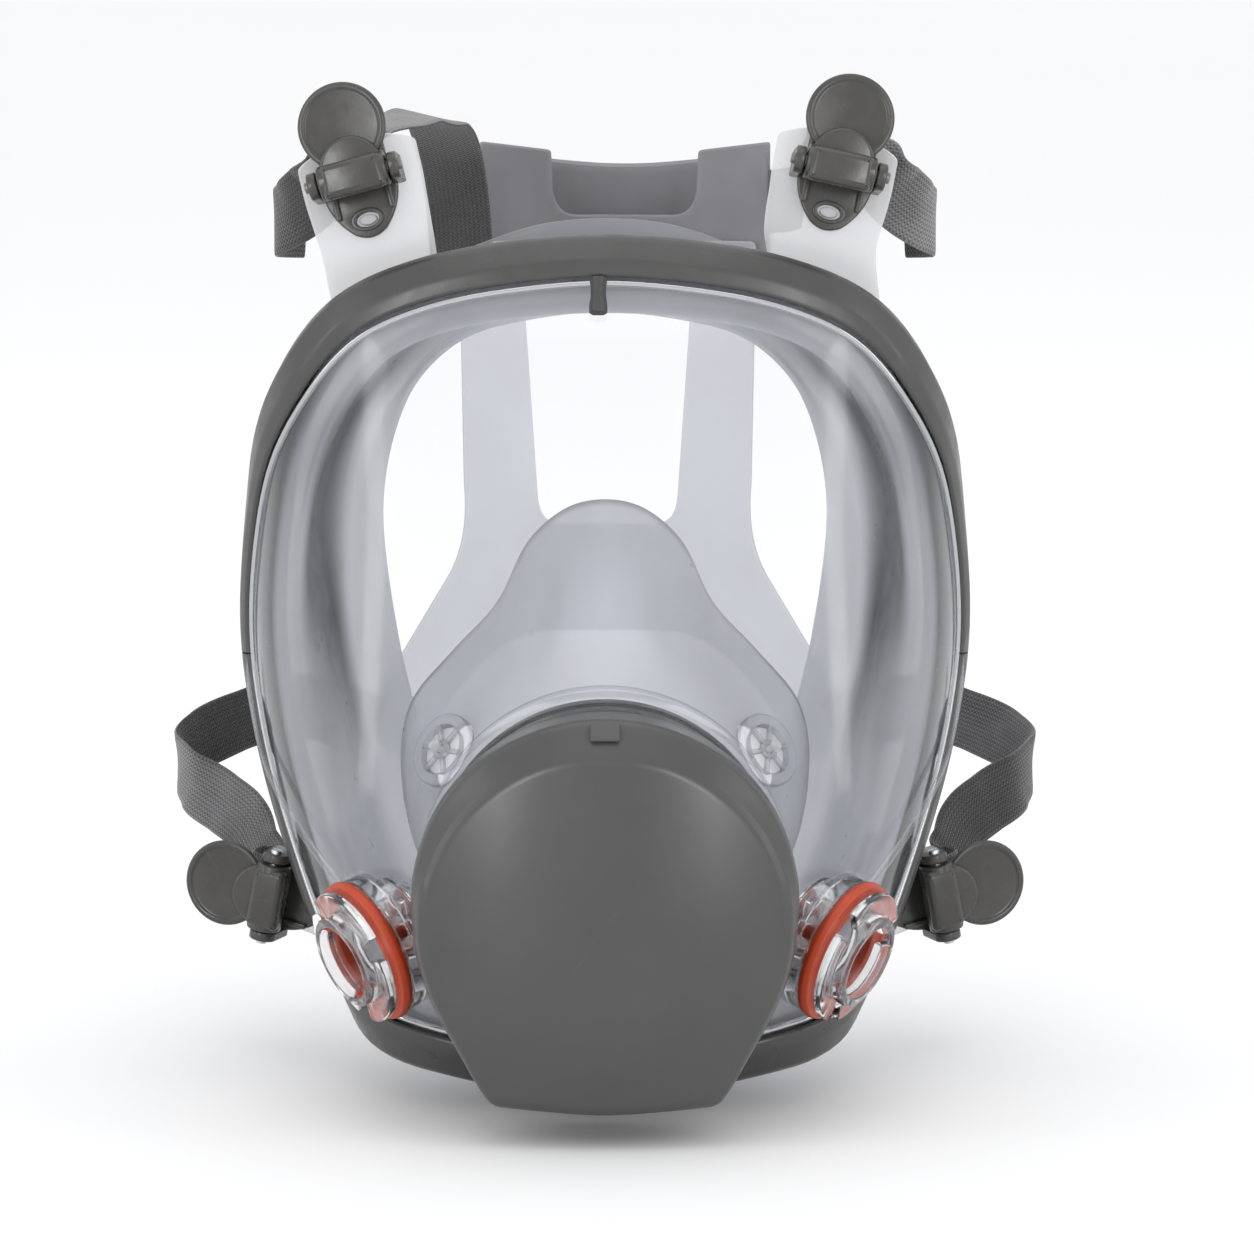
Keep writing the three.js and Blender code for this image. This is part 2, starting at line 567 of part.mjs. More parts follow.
// ---------------------------------------------------------------- nose cup
const NOSE_CUP_RINGS = [
  PORT_ANGLES.map((a) => [30.4 * Math.sin(rad(a)), -88.5, PORT_Z + 30.4 * Math.cos(rad(a))]),
  PORT_ANGLES.map((a) => [30.4 * Math.sin(rad(a)), -80, PORT_Z + 30.4 * Math.cos(rad(a))]),
  [[0, -68, -14], [9, -67, -16], [18, -65, -21], [27, -62, -28], [36, -58, -38], [41, -56, -50],
    [41, -56, -60], [38, -57, -69], [31, -59, -77], [22, -61, -83], [11, -62, -86], [0, -62, -87]],
  [[0, -44, 8], [8, -43, 5.5], [15, -42, -2], [24, -40, -12], [37, -36, -26], [46, -33, -40],
    [48, -33, -52], [45, -36, -63], [37, -40, -73], [26, -44, -80], [13, -46, -84], [0, -47, -85]],
  [[0, -18, 24.5], [9, -17, 22.5], [18.5, -16, 14.5], [27, -15, -2], [38, -15, -14], [48.5, -16, -27],
    [51, -18, -42], [47.5, -23, -57], [39, -29, -68], [28, -34, -76], [14, -38, -81], [0, -40, -82.5]],
];
const CUP_T = 1.8;
const CUP_VALVE = { index: 14, share: 0.36 }; // where the side valve sits on the cup

const cupRows = () => {
  const rings = NOSE_CUP_RINGS.map((ring) => loopThrough(points(ring), 44));
  return rings[0].map((_, i) => rings.map((ring) => ring[i]));
};

// The place of the check valve on one side of the nose cup: origin in the wall, Z out of it.
function cupValveMatrix(side) {
  const at = vec(39.5 * side, -52, -33);
  const z = vec(0.66 * side, -0.62, 0.42).normalize();
  const x = vec(0, 0, 1).cross(z).normalize();
  return new THREE.Matrix4().makeBasis(x, z.clone().cross(x), z).setPosition(at);
}

function noseCup() {
  let cup = sheet(cupRows(), CUP_T / 2, CUP_T / 2, { closed: true });
  for (const side of [1, -1]) {
    const hole = rod(8.6, 40, 20).rotateX(Math.PI / 2);
    cup = cut(cup, placed(hole, cupValveMatrix(side)));
  }
  return cup;
}

function cupValveSeat() {
  const ring = turnedOnZ([[6.4, -1.5], [8.2, -1.5], [8.2, 1.5], [6.4, 1.5]], 20);
  const hub = turnedOnZ([[0, 0.2], [2.5, 0.2], [2.5, 1.4], [0, 1.4]], 12);
  const spokes = [0, 60, 120].map((angle) =>
    box(-6.8, 6.8, -0.6, 0.6, 0.2, 1.4).rotateZ(rad(angle)));
  const hole = turnedOnZ([[0, -2], [1.2, -2], [1.2, 3], [0, 3]], 12);
  return cut(join(ring, hub, ...spokes), hole);
}

const cupValveFlap = () => turnedOnZ([[0, -0.9], [6, -0.9], [6, -0.15], [0.9, -0.15], [0.9, 3.1],
  [1.7, 3.4], [0.6, 4.8], [0, 4.8]], 16);

// ---------------------------------------------------------------- filter ports
// The bayonet port: a seat in the visor, a neck, three lugs and a nose, open right through.
function filterPort() {
  const body = turnedOnZ([
    [9.4, -6], [13.9, -6], [13.9, 0.1], [17.2, 0.1], [17.2, 4], [11.6, 4],
    [11.6, 12.6], [11, 13.2], [9.4, 13.2],
  ]);
  const lug = new THREE.Shape();
  lug.absarc(0, 0, 16.7, rad(-50), rad(50), false);
  lug.absarc(0, 0, 10.8, rad(50), rad(-50), true);
  const lugs = [-42, 78, 198].map((angle) => closedUp(new THREE.ExtrudeGeometry(lug,
    { depth: 2, bevelEnabled: false, curveSegments: 5 }).rotateZ(rad(angle)).translate(0, 0, 8.4)));
  const ring = turnedOnZ([[1.9, -5], [4.4, -5], [4.4, -3], [1.9, -3]], 12);
  const spokes = [0, 60, 120].map((angle) => box(-10.4, 10.4, -0.7, 0.7, -4.8, -3.2).rotateZ(rad(angle)));
  const hubHole = rod(1.9, 10, 12).rotateX(Math.PI / 2).translate(0, 0, -4);
  return cut(join(body, ...lugs, ring, ...spokes), hubHole);
}

const portGasket = () => turnedOnZ([[11.95, 4.35], [17.5, 4.35], [17.9, 5.6], [17.5, 7.2], [11.95, 7.2]]);
const inhalationValve = () => turnedOnZ([[0, -7.8], [11.6, -7.1], [11.6, -6.4], [3, -5.6],
  [1.5, -5.4], [1.5, -1], [2.5, -0.6], [1, 1.4], [0, 1.4]], 20);

// ---------------------------------------------------------------- head harness
// A strap along a path: each control is [x, y, z] with the direction of its width.
function ribbon(controls, steps, thickness = STRAP_T) {
  const line = new THREE.CatmullRomCurve3(controls.map(([p]) => vec(...p)), false, "centripetal");
  const ways = new THREE.CatmullRomCurve3(controls.map(([, w]) => vec(...w).normalize()), false, "centripetal");
  const rows = Array.from({ length: steps + 1 }, (_, i) => {
    const at = line.getPoint(i / steps);
    const tangent = line.getTangent(i / steps);
    const way = ways.getPoint(i / steps);
    way.addScaledVector(tangent, -way.dot(tangent)).normalize();
    return [-STRAP_W / 2, 0, STRAP_W / 2].map((s) => at.clone().addScaledVector(way, s));
  });
  return sheet(rows, thickness / 2, thickness / 2);
}

// A strap's control at a place in a buckle's own axes, with its width along the axle.
function inBuckle(name, y, z) {
  const matrix = buckleMatrix(name);
  const way = vec(1, 0, 0).transformDirection(matrix);
  return [vec(0, y, z).applyMatrix4(matrix).toArray(), way.toArray()];
}

// Through a buckle, under its cam and over the tip of its tab.
const throughBuckle = (name, tip) => [[-2.6, 2.95], [2.5, 2.95], [tip - 2.5, 2.8],
  [tip + 2.3, 0.8], [tip + 3, -5], [tip + 1, -10]].map(([y, z]) => inBuckle(name, y, z));

// Each upper strap's way from its tab back to the crown.
const UPPER_RUNS = {
  upper_left: [
    [[-60.5, -22, 115.5], [1, 0.25, 0.2]], [[-54, -4, 115.5], [1, 0.5, 0]],
    [[-47, 18, 117], [1, 0.5, -0.1]], [[-42.5, 38, 114.5], [1, 0.3, -0.15]],
    [[-41, 50, 104], [1, 0.1, -0.15]], [[-39, 54.5, 93], [1, 0, -0.1]], [[-37.5, 55.8, 80], [1, 0, 0]],
  ],
  upper_right: [
    [[58, -22, 114.5], [1, -0.2, -0.1]], [[56.5, 2, 109.5], [1, -0.1, 0]],
    [[56, 28, 106], [1, 0, 0.2]], [[55.5, 48, 100], [0.8, -0.2, 0.6]], [[51, 60, 95.5], [0.3, -0.1, 1]],
    [[43.5, 64.8, 94], [0, 0, 1]], [[37, 66.8, 94], [0, 0, 1]],
  ],
};
// The free end beyond each upper buckle.
const TAIL = [
  [[65.5, -30, 109], [0.45, 0.1, -0.9]], [[71.5, -30, 102], [0.25, 0.1, -1]],
  [[77.5, -27.5, 97], [0.1, 0.1, -1]], [[81.2, -22, 94.5], [0, 0, -1]], [[80, -14, 93.5], [0, 0, -1]],
  [[75, -9, 93], [0, 0, -1]],
];
const mirrorRun = (controls) => controls.map(([[x, y, z], [a, b, c]]) => [[-x, y, z], [-a, b, c]]);

// From each lower buckle, out to the side, and back to the cradle's arm.
const LOWER_RUN = [
  [[88.5, -3.5, -66], [0, 0, 1]], [[92, -1, -60], [0, 0, 1]], [[98, 1.5, -55.5], [0, 0, 1]],
  [[106, 5, -50.5], [0.1, 0, 1]], [[109.5, 12, -46.5], [0, 0, 1]], [[105, 19, -42.5], [-0.1, 0, 1]],
  [[94, 25, -38], [-0.3, 0, 1]], [[82, 32, -35.5], [-0.2, 0, 1]], [[75, 39.5, -37.5], [-0.2, 0.1, 1]],
  [[68, 45, -40.7], [-0.34, 0.15, 0.92]], [[60, 48.3, -44], [-0.34, 0.15, 0.92]],
];

// The curve of the harness behind the head: its middle lies furthest back.
const behindHead = (x, y) => y - 0.0034 * x * x;

function bentPanel(centre, halfWidth, low, high, y, thickness, columns) {
  const rows = Array.from({ length: columns + 1 }, (_, i) => {
    const x = centre - halfWidth + (2 * halfWidth * i) / columns;
    return [low, high].map((z) => vec(x, behindHead(x, y), z));
  });
  return sheet(rows, thickness / 2, thickness / 2);
}

// The crown: a panel with a notch in its top, and a band that bows back behind the notch.
function crown() {
  const outline = new THREE.Shape();
  outline.moveTo(-38, 80);
  outline.lineTo(38, 80);
  outline.lineTo(38, 110);
  outline.lineTo(19.5, 107.6);
  outline.lineTo(19, 97);
  outline.quadraticCurveTo(18, 90.5, 12.5, 90.5);
  outline.lineTo(-12.5, 90.5);
  outline.quadraticCurveTo(-18, 90.5, -19, 97);
  outline.lineTo(-19.5, 107.6);
  outline.lineTo(-38, 110);
  const blank = upright(outline, 40, 90).translate(CROWN_X, 0, 0);
  const panel = common(bentPanel(CROWN_X, 40, 76, 114, 66.5, 3, 20), blank);
  const rows = Array.from({ length: 15 }, (_, i) => {
    const share = i / 7 - 1;
    const bow = 13 * (1 - share ** 4);
    const top = 105 - 2.6 * (1 - share * share);
    const x = CROWN_X + 25 * share;
    return [86, top].map((z) => vec(x, behindHead(x, 66.5) + bow, z));
  });
  return join(panel, sheet(rows, 1.1, 1.1));
}

// The cradle: a soft frame behind the head, with an arm to each lower strap.
function cradle() {
  const outline = new THREE.Shape();
  outline.moveTo(-39, 89);
  outline.lineTo(-38, 20);
  outline.quadraticCurveTo(-36.5, 4, -43, -6);
  outline.lineTo(-66, -44);
  outline.lineTo(-52, -56);
  outline.quadraticCurveTo(-38, -24, -18, -20);
  outline.lineTo(18, -20);
  outline.quadraticCurveTo(38, -24, 52, -56);
  outline.lineTo(66, -44);
  outline.lineTo(43, -6);
  outline.quadraticCurveTo(36.5, 4, 38, 20);
  outline.lineTo(39, 89);
  const window = new THREE.Path();
  window.moveTo(-22.6, 76);
  window.lineTo(-18.6, 16);
  window.quadraticCurveTo(-18, 8.5, -12, 8.5);
  window.lineTo(12, 8.5);
  window.quadraticCurveTo(18, 8.5, 18.6, 16);
  window.lineTo(22.6, 76);
  outline.holes.push(window);
  const blank = upright(outline, 20, 90).translate(CRADLE_X, 0, 0);
  return common(bentPanel(CRADLE_X, 72, -60, 95, 63.4, 2, 24), blank);
}

// ---------------------------------------------------------------- assembly
const FINISH = {
  frame: { color: 0x5d5e5d, roughness: 0.5 },
  clear: { color: 0xe8edf0, roughness: 0.05, transparent: true, opacity: 0.35 },
  seal: { color: 0xc9cdd0, roughness: 0.4 },
  gasket: { color: 0xc8431f, roughness: 0.5 },
  webbing: { color: 0x6c6b6d, roughness: 0.9 },
  pale: { color: 0xd3d5d8, roughness: 0.5 },
  steel: { color: 0xb9bbbd, roughness: 0.3, metalness: 1 },
  crown: { color: 0x6f7073, roughness: 0.6 },
};
const respirator = new THREE.Group();

function add(name, geometry, finish, parent = respirator) {
  const mesh = new THREE.Mesh(geometry, new THREE.MeshStandardMaterial(FINISH[finish]));
  mesh.name = name;
  parent.add(mesh);
  return mesh;
}

function placedGroup(matrix) {
  const group = new THREE.Group();
  matrix.decompose(group.position, group.quaternion, group.scale);
  respirator.add(group);
  return group;
}

add("face_seal", faceSeal(), "seal");
add("visor_lens", visor(), "clear");
add("upper_frame", frameHalf(-TEMPLE, TEMPLE, 0.3, 6), "frame");
add("lower_frame", frameHalf(TEMPLE, LOOP_STEPS - TEMPLE, -6, -0.3), "frame");
add("visor_clip", visorClip(), "frame");
add("center_adapter", centreAdapter(), "frame");
add("exhalation_valve", exhalationValve(), "seal");
add("adapter_gasket", adapterGasket(), "frame");
add("adapter_lock_ring", adapterLockRing(), "frame");
add("valve_cover", valveCover(), "frame");
add("nose_cup", noseCup(), "seal");
add("nose_cup_clamp", noseCupClamp(), "frame");

for (const [word, side] of [["left", -1], ["right", 1]]) {
  add(`frame_screw_${word}`, frameScrew(side), "steel");
  add(`frame_nut_${word}`, frameNut(side), "steel");
  const port = placedGroup(portMatrix(side));
  add(`filter_port_${word}`, filterPort(), "clear", port);
  add(`port_gasket_${word}`, portGasket(), "gasket", port);
  add(`inhalation_valve_${word}`, inhalationValve(), "seal", port);
  const valve = placedGroup(cupValveMatrix(side));
  add(`cup_valve_seat_${word}`, cupValveSeat(), "pale", valve);
  add(`cup_valve_flap_${word}`, cupValveFlap(), "seal", valve);
  for (const height of ["upper", "lower"]) {
    const name = `${height}_${word}`;
    const buckle = placedGroup(buckleMatrix(name));
    add(`buckle_base_${name}`, buckleBase(), "frame", buckle);
    add(`buckle_lever_${name}`, buckleLever(), "frame", buckle);
    add(`buckle_pin_${name}`, bucklePin(), "steel", buckle);
  }
  const [upper, lower] = [`upper_${word}`, `lower_${word}`];
  const mainLimb = ribbon([...throughBuckle(upper, 9.5), ...UPPER_RUNS[upper]], 28);
  const tail = ribbon([inBuckle(upper, 10.9, -8.5), ...(side > 0 ? TAIL : mirrorRun(TAIL))], 14);
  add(`strap_${upper}`, join(mainLimb, tail), "webbing");
  const sideLoop = side > 0 ? LOWER_RUN : mirrorRun(LOWER_RUN);
  add(`strap_${lower}`, ribbon([...throughBuckle(lower, 6.5), ...sideLoop], 34), "webbing");
}
add("crown_panel", crown(), "crown");
add("back_cradle", cradle(), "pale");

export default respirator;
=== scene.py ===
import math

import bmesh
import bpy
import numpy as np
from mathutils import Matrix, Vector


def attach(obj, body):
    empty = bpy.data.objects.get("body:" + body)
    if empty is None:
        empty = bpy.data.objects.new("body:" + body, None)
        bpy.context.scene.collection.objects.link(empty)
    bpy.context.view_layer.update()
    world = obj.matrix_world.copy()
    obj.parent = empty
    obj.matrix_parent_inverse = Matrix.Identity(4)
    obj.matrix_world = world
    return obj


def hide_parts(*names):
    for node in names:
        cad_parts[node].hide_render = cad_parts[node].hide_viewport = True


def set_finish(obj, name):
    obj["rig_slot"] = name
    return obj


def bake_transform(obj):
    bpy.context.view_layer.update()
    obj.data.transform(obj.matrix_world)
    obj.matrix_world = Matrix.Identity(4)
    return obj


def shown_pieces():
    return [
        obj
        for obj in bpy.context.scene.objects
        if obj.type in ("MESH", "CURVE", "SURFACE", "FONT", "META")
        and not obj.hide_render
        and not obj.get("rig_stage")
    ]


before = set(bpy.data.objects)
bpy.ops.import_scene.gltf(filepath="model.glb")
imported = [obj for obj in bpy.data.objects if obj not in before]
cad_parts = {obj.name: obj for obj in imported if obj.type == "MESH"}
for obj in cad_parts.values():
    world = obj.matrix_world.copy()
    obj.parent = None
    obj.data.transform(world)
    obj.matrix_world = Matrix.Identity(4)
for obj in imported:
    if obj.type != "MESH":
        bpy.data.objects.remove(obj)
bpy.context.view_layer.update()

# ---- driving dimensions
MM = 0.001
VISOR_T = 2.5
SEAL_T = 2.2
CUP_T = 1.8
FINE = 4  # points here for each point of the solids' loops
STEPS = 66 * FINE
PORT_Z = -54.6
COLLAR_R = 44
COLLAR_BORE_R = 41.6
STRAP_W = 16
STRAP_T = 1.2
CROWN_X, CROWN_Y = 5.2, 66.5  # the harness's two panels: centre, and depth behind the mask
CRADLE_X, CRADLE_Y = 0.7, 63.4
HEAD_CURVE = 0.0034  # how the panels bend round the head, per millimetre squared of x
FLOOR_Z = -0.115
# heights in metres between which the seal's painted shade, its dark edge-on colour, comes in, from below
# and from above
CHEEK_HEIGHTS, TEMPLE_HEIGHTS = (-0.052, -0.008), (0.072, 0.048)
INNER_SIDE = 1.0  # added to a strap's lengths across itself on its inner side, in metres, to mark the side that the webbing darkens with painted shade

# height, half width, temple depth, front depth and superellipse power of the visor's sections
VISOR_SECTIONS = np.array([
    [-116, 46, -74, -78, 2.4], [-106, 53.5, -62, -88, 2.4], [-90, 62.5, -48, -98, 2.5],
    [-70, 72.5, -33, -102, 2.6], [-45, 81.5, -20, -102, 2.6], [-20, 87.2, -12, -101, 2.3],
    [0, 88.4, -11, -99, 2.15], [30, 86.2, -12, -93, 2.1], [60, 84.5, -13, -82, 2.1],
    [88, 83, -15, -62, 2.1], [98, 82, -16, -52, 2.1],
])
# degrees round the section, and height, of the visor's edge from the forehead to the chin
VISOR_EDGE = [
    [0, 0, 88.5], [15.6, 0, 86.9], [31.2, 0, 82.6], [46.6, 0, 74.2], [61.3, 0, 58.5],
    [81, 0, 28.8], [86.5, 0, -13.2], [86, 0, -37], [86, 0, -68], [80, 0, -91],
    [37, 0, -101.6], [0, 0, -106.6],
]
TEMPLE = 18 * FINE  # where the frame's halves meet, counted round the edge
PORT_ANGLES = [0, 13, 27, 41, 57, 76, 96, 114, 131, 148, 164, 180]


# ---- maths
def unit(v):
    return v / np.linalg.norm(v, axis=-1, keepdims=True)


def smooth(column, at):
    """A column of the visor's sections at a height: a cubic with averaged slopes."""
    z, value = VISOR_SECTIONS[:, 0], VISOR_SECTIONS[:, column]
    slope = np.empty_like(value)
    slope[1:-1] = (value[2:] - value[:-2]) / (z[2:] - z[:-2])
    slope[0] = (value[1] - value[0]) / (z[1] - z[0])
    slope[-1] = (value[-1] - value[-2]) / (z[-1] - z[-2])
    i = np.clip(np.searchsorted(z, at) - 1, 0, len(z) - 2)
    h = z[i + 1] - z[i]
    t = (at - z[i]) / h
    return (
        (2 * t**3 - 3 * t**2 + 1) * value[i] + (t**3 - 2 * t**2 + t) * h * slope[i]
        + (3 * t**2 - 2 * t**3) * value[i + 1] + (t**3 - t**2) * h * slope[i + 1]
    )


def spline(controls, shares, closed=False):
    """Points at shares from 0 to 1 of a centripetal curve through the controls."""
    c = np.asarray(controls, float)
    spans = len(c) if closed else len(c) - 1
    before, after = (c[-1:], c[:2]) if closed else (2 * c[:1] - c[1:2], 2 * c[-1:] - c[-2:-1])
    c = np.vstack([before, c, after])
    p = np.asarray(shares, float) * spans
    i = np.clip(p.astype(int), 0, spans - 1)
    w = (p - i)[:, None]
    p0, p1, p2, p3 = (c[i + k] for k in range(4))
    d0, d1, d2 = (
        np.maximum(np.linalg.norm(b - a, axis=1, keepdims=True) ** 0.5, 1e-3)
        for a, b in ((p0, p1), (p1, p2), (p2, p3))
    )
    t1 = ((p1 - p0) / d0 - (p2 - p0) / (d0 + d1) + (p2 - p1) / d1) * d1
    t2 = ((p2 - p1) / d1 - (p3 - p1) / (d1 + d2) + (p3 - p2) / d2) * d1
    return p1 + t1 * w + (3 * (p2 - p1) - 2 * t1 - t2) * w**2 + (2 * (p1 - p2) + t1 + t2) * w**3


def loop_through(half, steps=STEPS):
    """A closed smooth loop through points given for the right half, top to bottom."""
    half = np.asarray(half, float)
    left = half[-2:0:-1] * [-1, 1, 1]
    return spline(np.vstack([half, left]), np.arange(steps) / steps, closed=True)


def visor_point(degrees, z):
    degrees, z = np.broadcast_arrays(np.asarray(degrees, float), np.asarray(z, float))
    half, temple, front, power = (smooth(k, z) for k in (1, 2, 3, 4))
    s, c = np.sin(np.radians(degrees)), np.cos(np.radians(degrees))
    r = (np.abs(s) ** power + np.abs(c) ** power) ** (-1 / power)
    return np.stack([half * r * s, front + (temple - front) * (1 - r * c), z], -1)


def visor_degrees(x, z):
    share, power = x / smooth(1, z), smooth(4, z)
    return np.degrees(np.arctan2(share, (1 - np.abs(share) ** power) ** (1 / power)))


def visor_normal(degrees, z):
    across = visor_point(degrees + 0.5, z) - visor_point(degrees - 0.5, z)
    up = visor_point(degrees, z + 0.5) - visor_point(degrees, z - 0.5)
    return unit(np.cross(across, up))


EDGE_DOMAIN = loop_through(VISOR_EDGE)
EDGE_AT = visor_point(EDGE_DOMAIN[:, 0], EDGE_DOMAIN[:, 2])
EDGE_NORMAL = visor_normal(EDGE_DOMAIN[:, 0], EDGE_DOMAIN[:, 2])
EDGE_ALONG = unit(np.roll(EDGE_AT, -1, 0) - np.roll(EDGE_AT, 1, 0))
EDGE_OUT = unit(np.cross(EDGE_NORMAL, EDGE_ALONG))


def edge_point(i, out, off):
    return EDGE_AT[i] + EDGE_OUT[i] * out + EDGE_NORMAL[i] * off


# ---- surfaces: (points, faces)
def skin(grid, wrap_rows=False, wrap_columns=False, fill_rows=False, fill_columns=False):
    """Quads over a grid of points, which may close on itself and be filled at its ends."""
    grid = np.asarray(grid, float)
    n, m = grid.shape[:2]
    faces = []
    for i in range(n if wrap_rows else n - 1):
        for j in range(m if wrap_columns else m - 1):
            a, b = i * m, (i + 1) % n * m
            k = (j + 1) % m
            faces.append((a + j, b + j, b + k, a + k))
    if fill_rows:
        faces += [tuple(range(m)), tuple(range((n - 1) * m, n * m))]
    if fill_columns:
        faces += [tuple(range(0, n * m, m)), tuple(range(m - 1, n * m, m))]
    return grid.reshape(-1, 3), faces


def grid_normals(rows, closed):
    if closed:
        down = np.roll(rows, -1, 0) - np.roll(rows, 1, 0)
    else:
        down = np.gradient(rows, axis=0)
    return unit(np.cross(down, np.gradient(rows, axis=1)))


def sheet(rows, plus, minus, closed=False):
    """A sheet of material over rows of points, with a blunt rim: plus and minus are its depths."""
    rows = np.asarray(rows, float)
    normals = grid_normals(rows, closed)
    plus, minus = (np.reshape(v, (1, -1, 1)) for v in (plus, minus))
    front, back = rows + normals * plus, rows - normals * minus
    middle = (front + back) / 2
    half = np.linalg.norm(front - back, axis=-1, keepdims=True) * 0.4
    start = middle[:, :1] + unit(rows[:, :1] - rows[:, 1:2]) * half[:, :1]
    end = middle[:, -1:] + unit(rows[:, -1:] - rows[:, -2:-1]) * half[:, -1:]
    rings = np.concatenate([front, end, back[:, ::-1], start], 1)
    return skin(rings, wrap_rows=closed, wrap_columns=True, fill_rows=not closed)


def rounded(profile, radius, steps=4):
    """A closed flat outline with its corners rounded, apart from those on the axis."""
    p = np.asarray(profile, float)
    made = []
    for i, at in enumerate(p):
        if at[0] == 0:
            made.append(at)
            continue
        before, after = p[i - 1] - at, p[(i + 1) % len(p)] - at
        reach = min(radius, 0.45 * np.linalg.norm(before), 0.45 * np.linalg.norm(after))
        a, b = at + unit(before) * reach, at + unit(after) * reach
        for t in np.linspace(0, 1, steps):
            made.append(a * (1 - t) ** 2 + at * 2 * t * (1 - t) + b * t**2)
    return np.array(made)


def lathe(profile, radius=0.3, steps=96, axis="z"):
    """A closed [radius, height] profile turned about an axis."""
    p = rounded(profile, radius)
    angle = np.linspace(0, 2 * math.pi, steps, endpoint=False)[:, None]
    r, h = p[None, :, 0], p[None, :, 1] + 0 * angle
    columns = {"z": (r * np.cos(angle), r * np.sin(angle), h),
               "x": (h, r * np.cos(angle), r * np.sin(angle)),
               "y": (r * np.cos(angle), h, r * np.sin(angle))}[axis]
    return skin(np.stack(columns, -1), wrap_rows=True, wrap_columns=True)


def merged(*parts):
    points, faces, count = [], [], 0
    for part_points, part_faces in parts:
        points.append(part_points)
        faces += [tuple(k + count for k in face) for face in part_faces]
        count += len(part_points)
    return np.vstack(points), faces


def placed(part, matrix):
    points, faces = part
    return points @ matrix[:3, :3].T + matrix[:3, 3], faces


def basis(x, y, z, at):
    matrix = np.eye(4)
    matrix[:3, :3] = np.stack([x, y, z], 1)
    matrix[:3, 3] = at
    return matrix


def turned_by(degrees, axis="Z", at=(0, 0, 0)):
    return np.array(Matrix.Translation(at) @ Matrix.Rotation(math.radians(degrees), 4, axis))


def new_object(name, data):
    obj = bpy.data.objects.new(name, data)
    bpy.context.scene.collection.objects.link(obj)
    return obj


def plate(loops, low, high, edge=0.4):
    """A flat piece from closed outlines, holes among them, with bevelled edges."""
    curve = bpy.data.curves.new("outline", "CURVE")
    curve.dimensions = "2D"
    curve.fill_mode = "BOTH"
    curve.extrude = (high - low) / 2 - edge
    curve.bevel_depth = edge
    curve.bevel_resolution = 2
    curve.offset = -edge
    for loop in loops:
        outline = curve.splines.new("POLY")
        outline.points.add(len(loop) - 1)
        for point, (x, y) in zip(outline.points, loop):
            point.co = (x, y, 0, 1)
        outline.use_cyclic_u = True
    obj = new_object("outline", curve)
    mesh = bpy.data.meshes.new_from_object(obj.evaluated_get(bpy.context.evaluated_depsgraph_get()))
    points = np.array([v.co for v in mesh.vertices], float) + [0, 0, (low + high) / 2]
    faces = [tuple(p.vertices) for p in mesh.polygons]
    bpy.data.objects.remove(obj)
    bpy.data.curves.remove(curve)
    bpy.data.meshes.remove(mesh)
    return points, faces


def rounded_box(x0, x1, y0, y1, z0, z1, corner=1.0, edge=0.4):
    outline = rounded([[x0, y0], [x1, y0], [x1, y1], [x0, y1]], corner)
    return plate([outline], z0, z1, edge)


def arc(radius, start, end, steps=24, centre=(0, 0)):
    angle = np.radians(np.linspace(start, end, steps))
    return np.stack([centre[0] + radius * np.cos(angle), centre[1] + radius * np.sin(angle)], 1)


def curve_to(start, corner, end, steps=10):
    t = np.linspace(0, 1, steps)[:, None]
    start, corner, end = (np.asarray(point) for point in (start, corner, end))
    return start * (1 - t) ** 2 + corner * 2 * t * (1 - t) + end * t**2


# ---- meshes and pieces
def mesh_of(name, part, sharp=35):
    points, faces = part
    mesh = bpy.data.meshes.new(name)
    mesh.from_pydata((points * MM).tolist(), [], faces)
    tidy = bmesh.new()
    tidy.from_mesh(mesh)
    bmesh.ops.remove_doubles(tidy, verts=tidy.verts, dist=2e-6)
    bmesh.ops.dissolve_degenerate(tidy, edges=tidy.edges, dist=1e-7)
    bmesh.ops.recalc_face_normals(tidy, faces=tidy.faces)
    tidy.to_mesh(mesh)
    tidy.free()
    mesh.shade_smooth()
    mesh.set_sharp_from_angle(angle=math.radians(sharp))
    return mesh


def piece(name, part, material, slot, body="mask", stands_for=None, sharp=35):
    """A piece that stands for the solid of its own name, unless it is told which."""
    obj = new_object(name, mesh_of(name, part, sharp))
    obj.data.materials.append(material)
    finished(obj, slot, body, [name] if stands_for is None else stands_for)
    return obj


def finished(obj, slot, body, stands_for):
    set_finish(obj, slot)
    if stands_for:
        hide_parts(*stands_for)
    if body:
        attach(obj, body)


def carved(name, base, added, removed, material, slot, stands_for, sharp=30):
    """A piece made of solids added to and cut from a base."""
    obj = new_object(name, mesh_of(name, base))
    tools = []
    for kind, solids in (("UNION", added), ("DIFFERENCE", removed)):
        for solid in solids:
            tool = new_object("tool", mesh_of("tool", solid))
            step = obj.modifiers.new("step", "BOOLEAN")
            step.operation = kind
            step.object = tool
            step.solver = "EXACT"
            tools.append(tool)
    result = bpy.data.meshes.new_from_object(
        obj.evaluated_get(bpy.context.evaluated_depsgraph_get()))
    obj.modifiers.clear()
    obj.data = result
    for tool in tools:
        bpy.data.objects.remove(tool)
    result.shade_smooth()
    result.set_sharp_from_angle(angle=math.radians(sharp))
    result.materials.clear()
    result.materials.append(material)
    finished(obj, slot, "mask", stands_for)


# ---- materials
def shade(red, green, blue):
    """A linear colour from its everyday 0-255 values."""
    return tuple(((c / 255 + 0.055) / 1.055) ** 2.4 for c in (red, green, blue)) + (1,)


def new_material(name):
    material = bpy.data.materials.new(name)
    material.use_nodes = True
    material.node_tree.nodes.clear()
    return material, material.node_tree


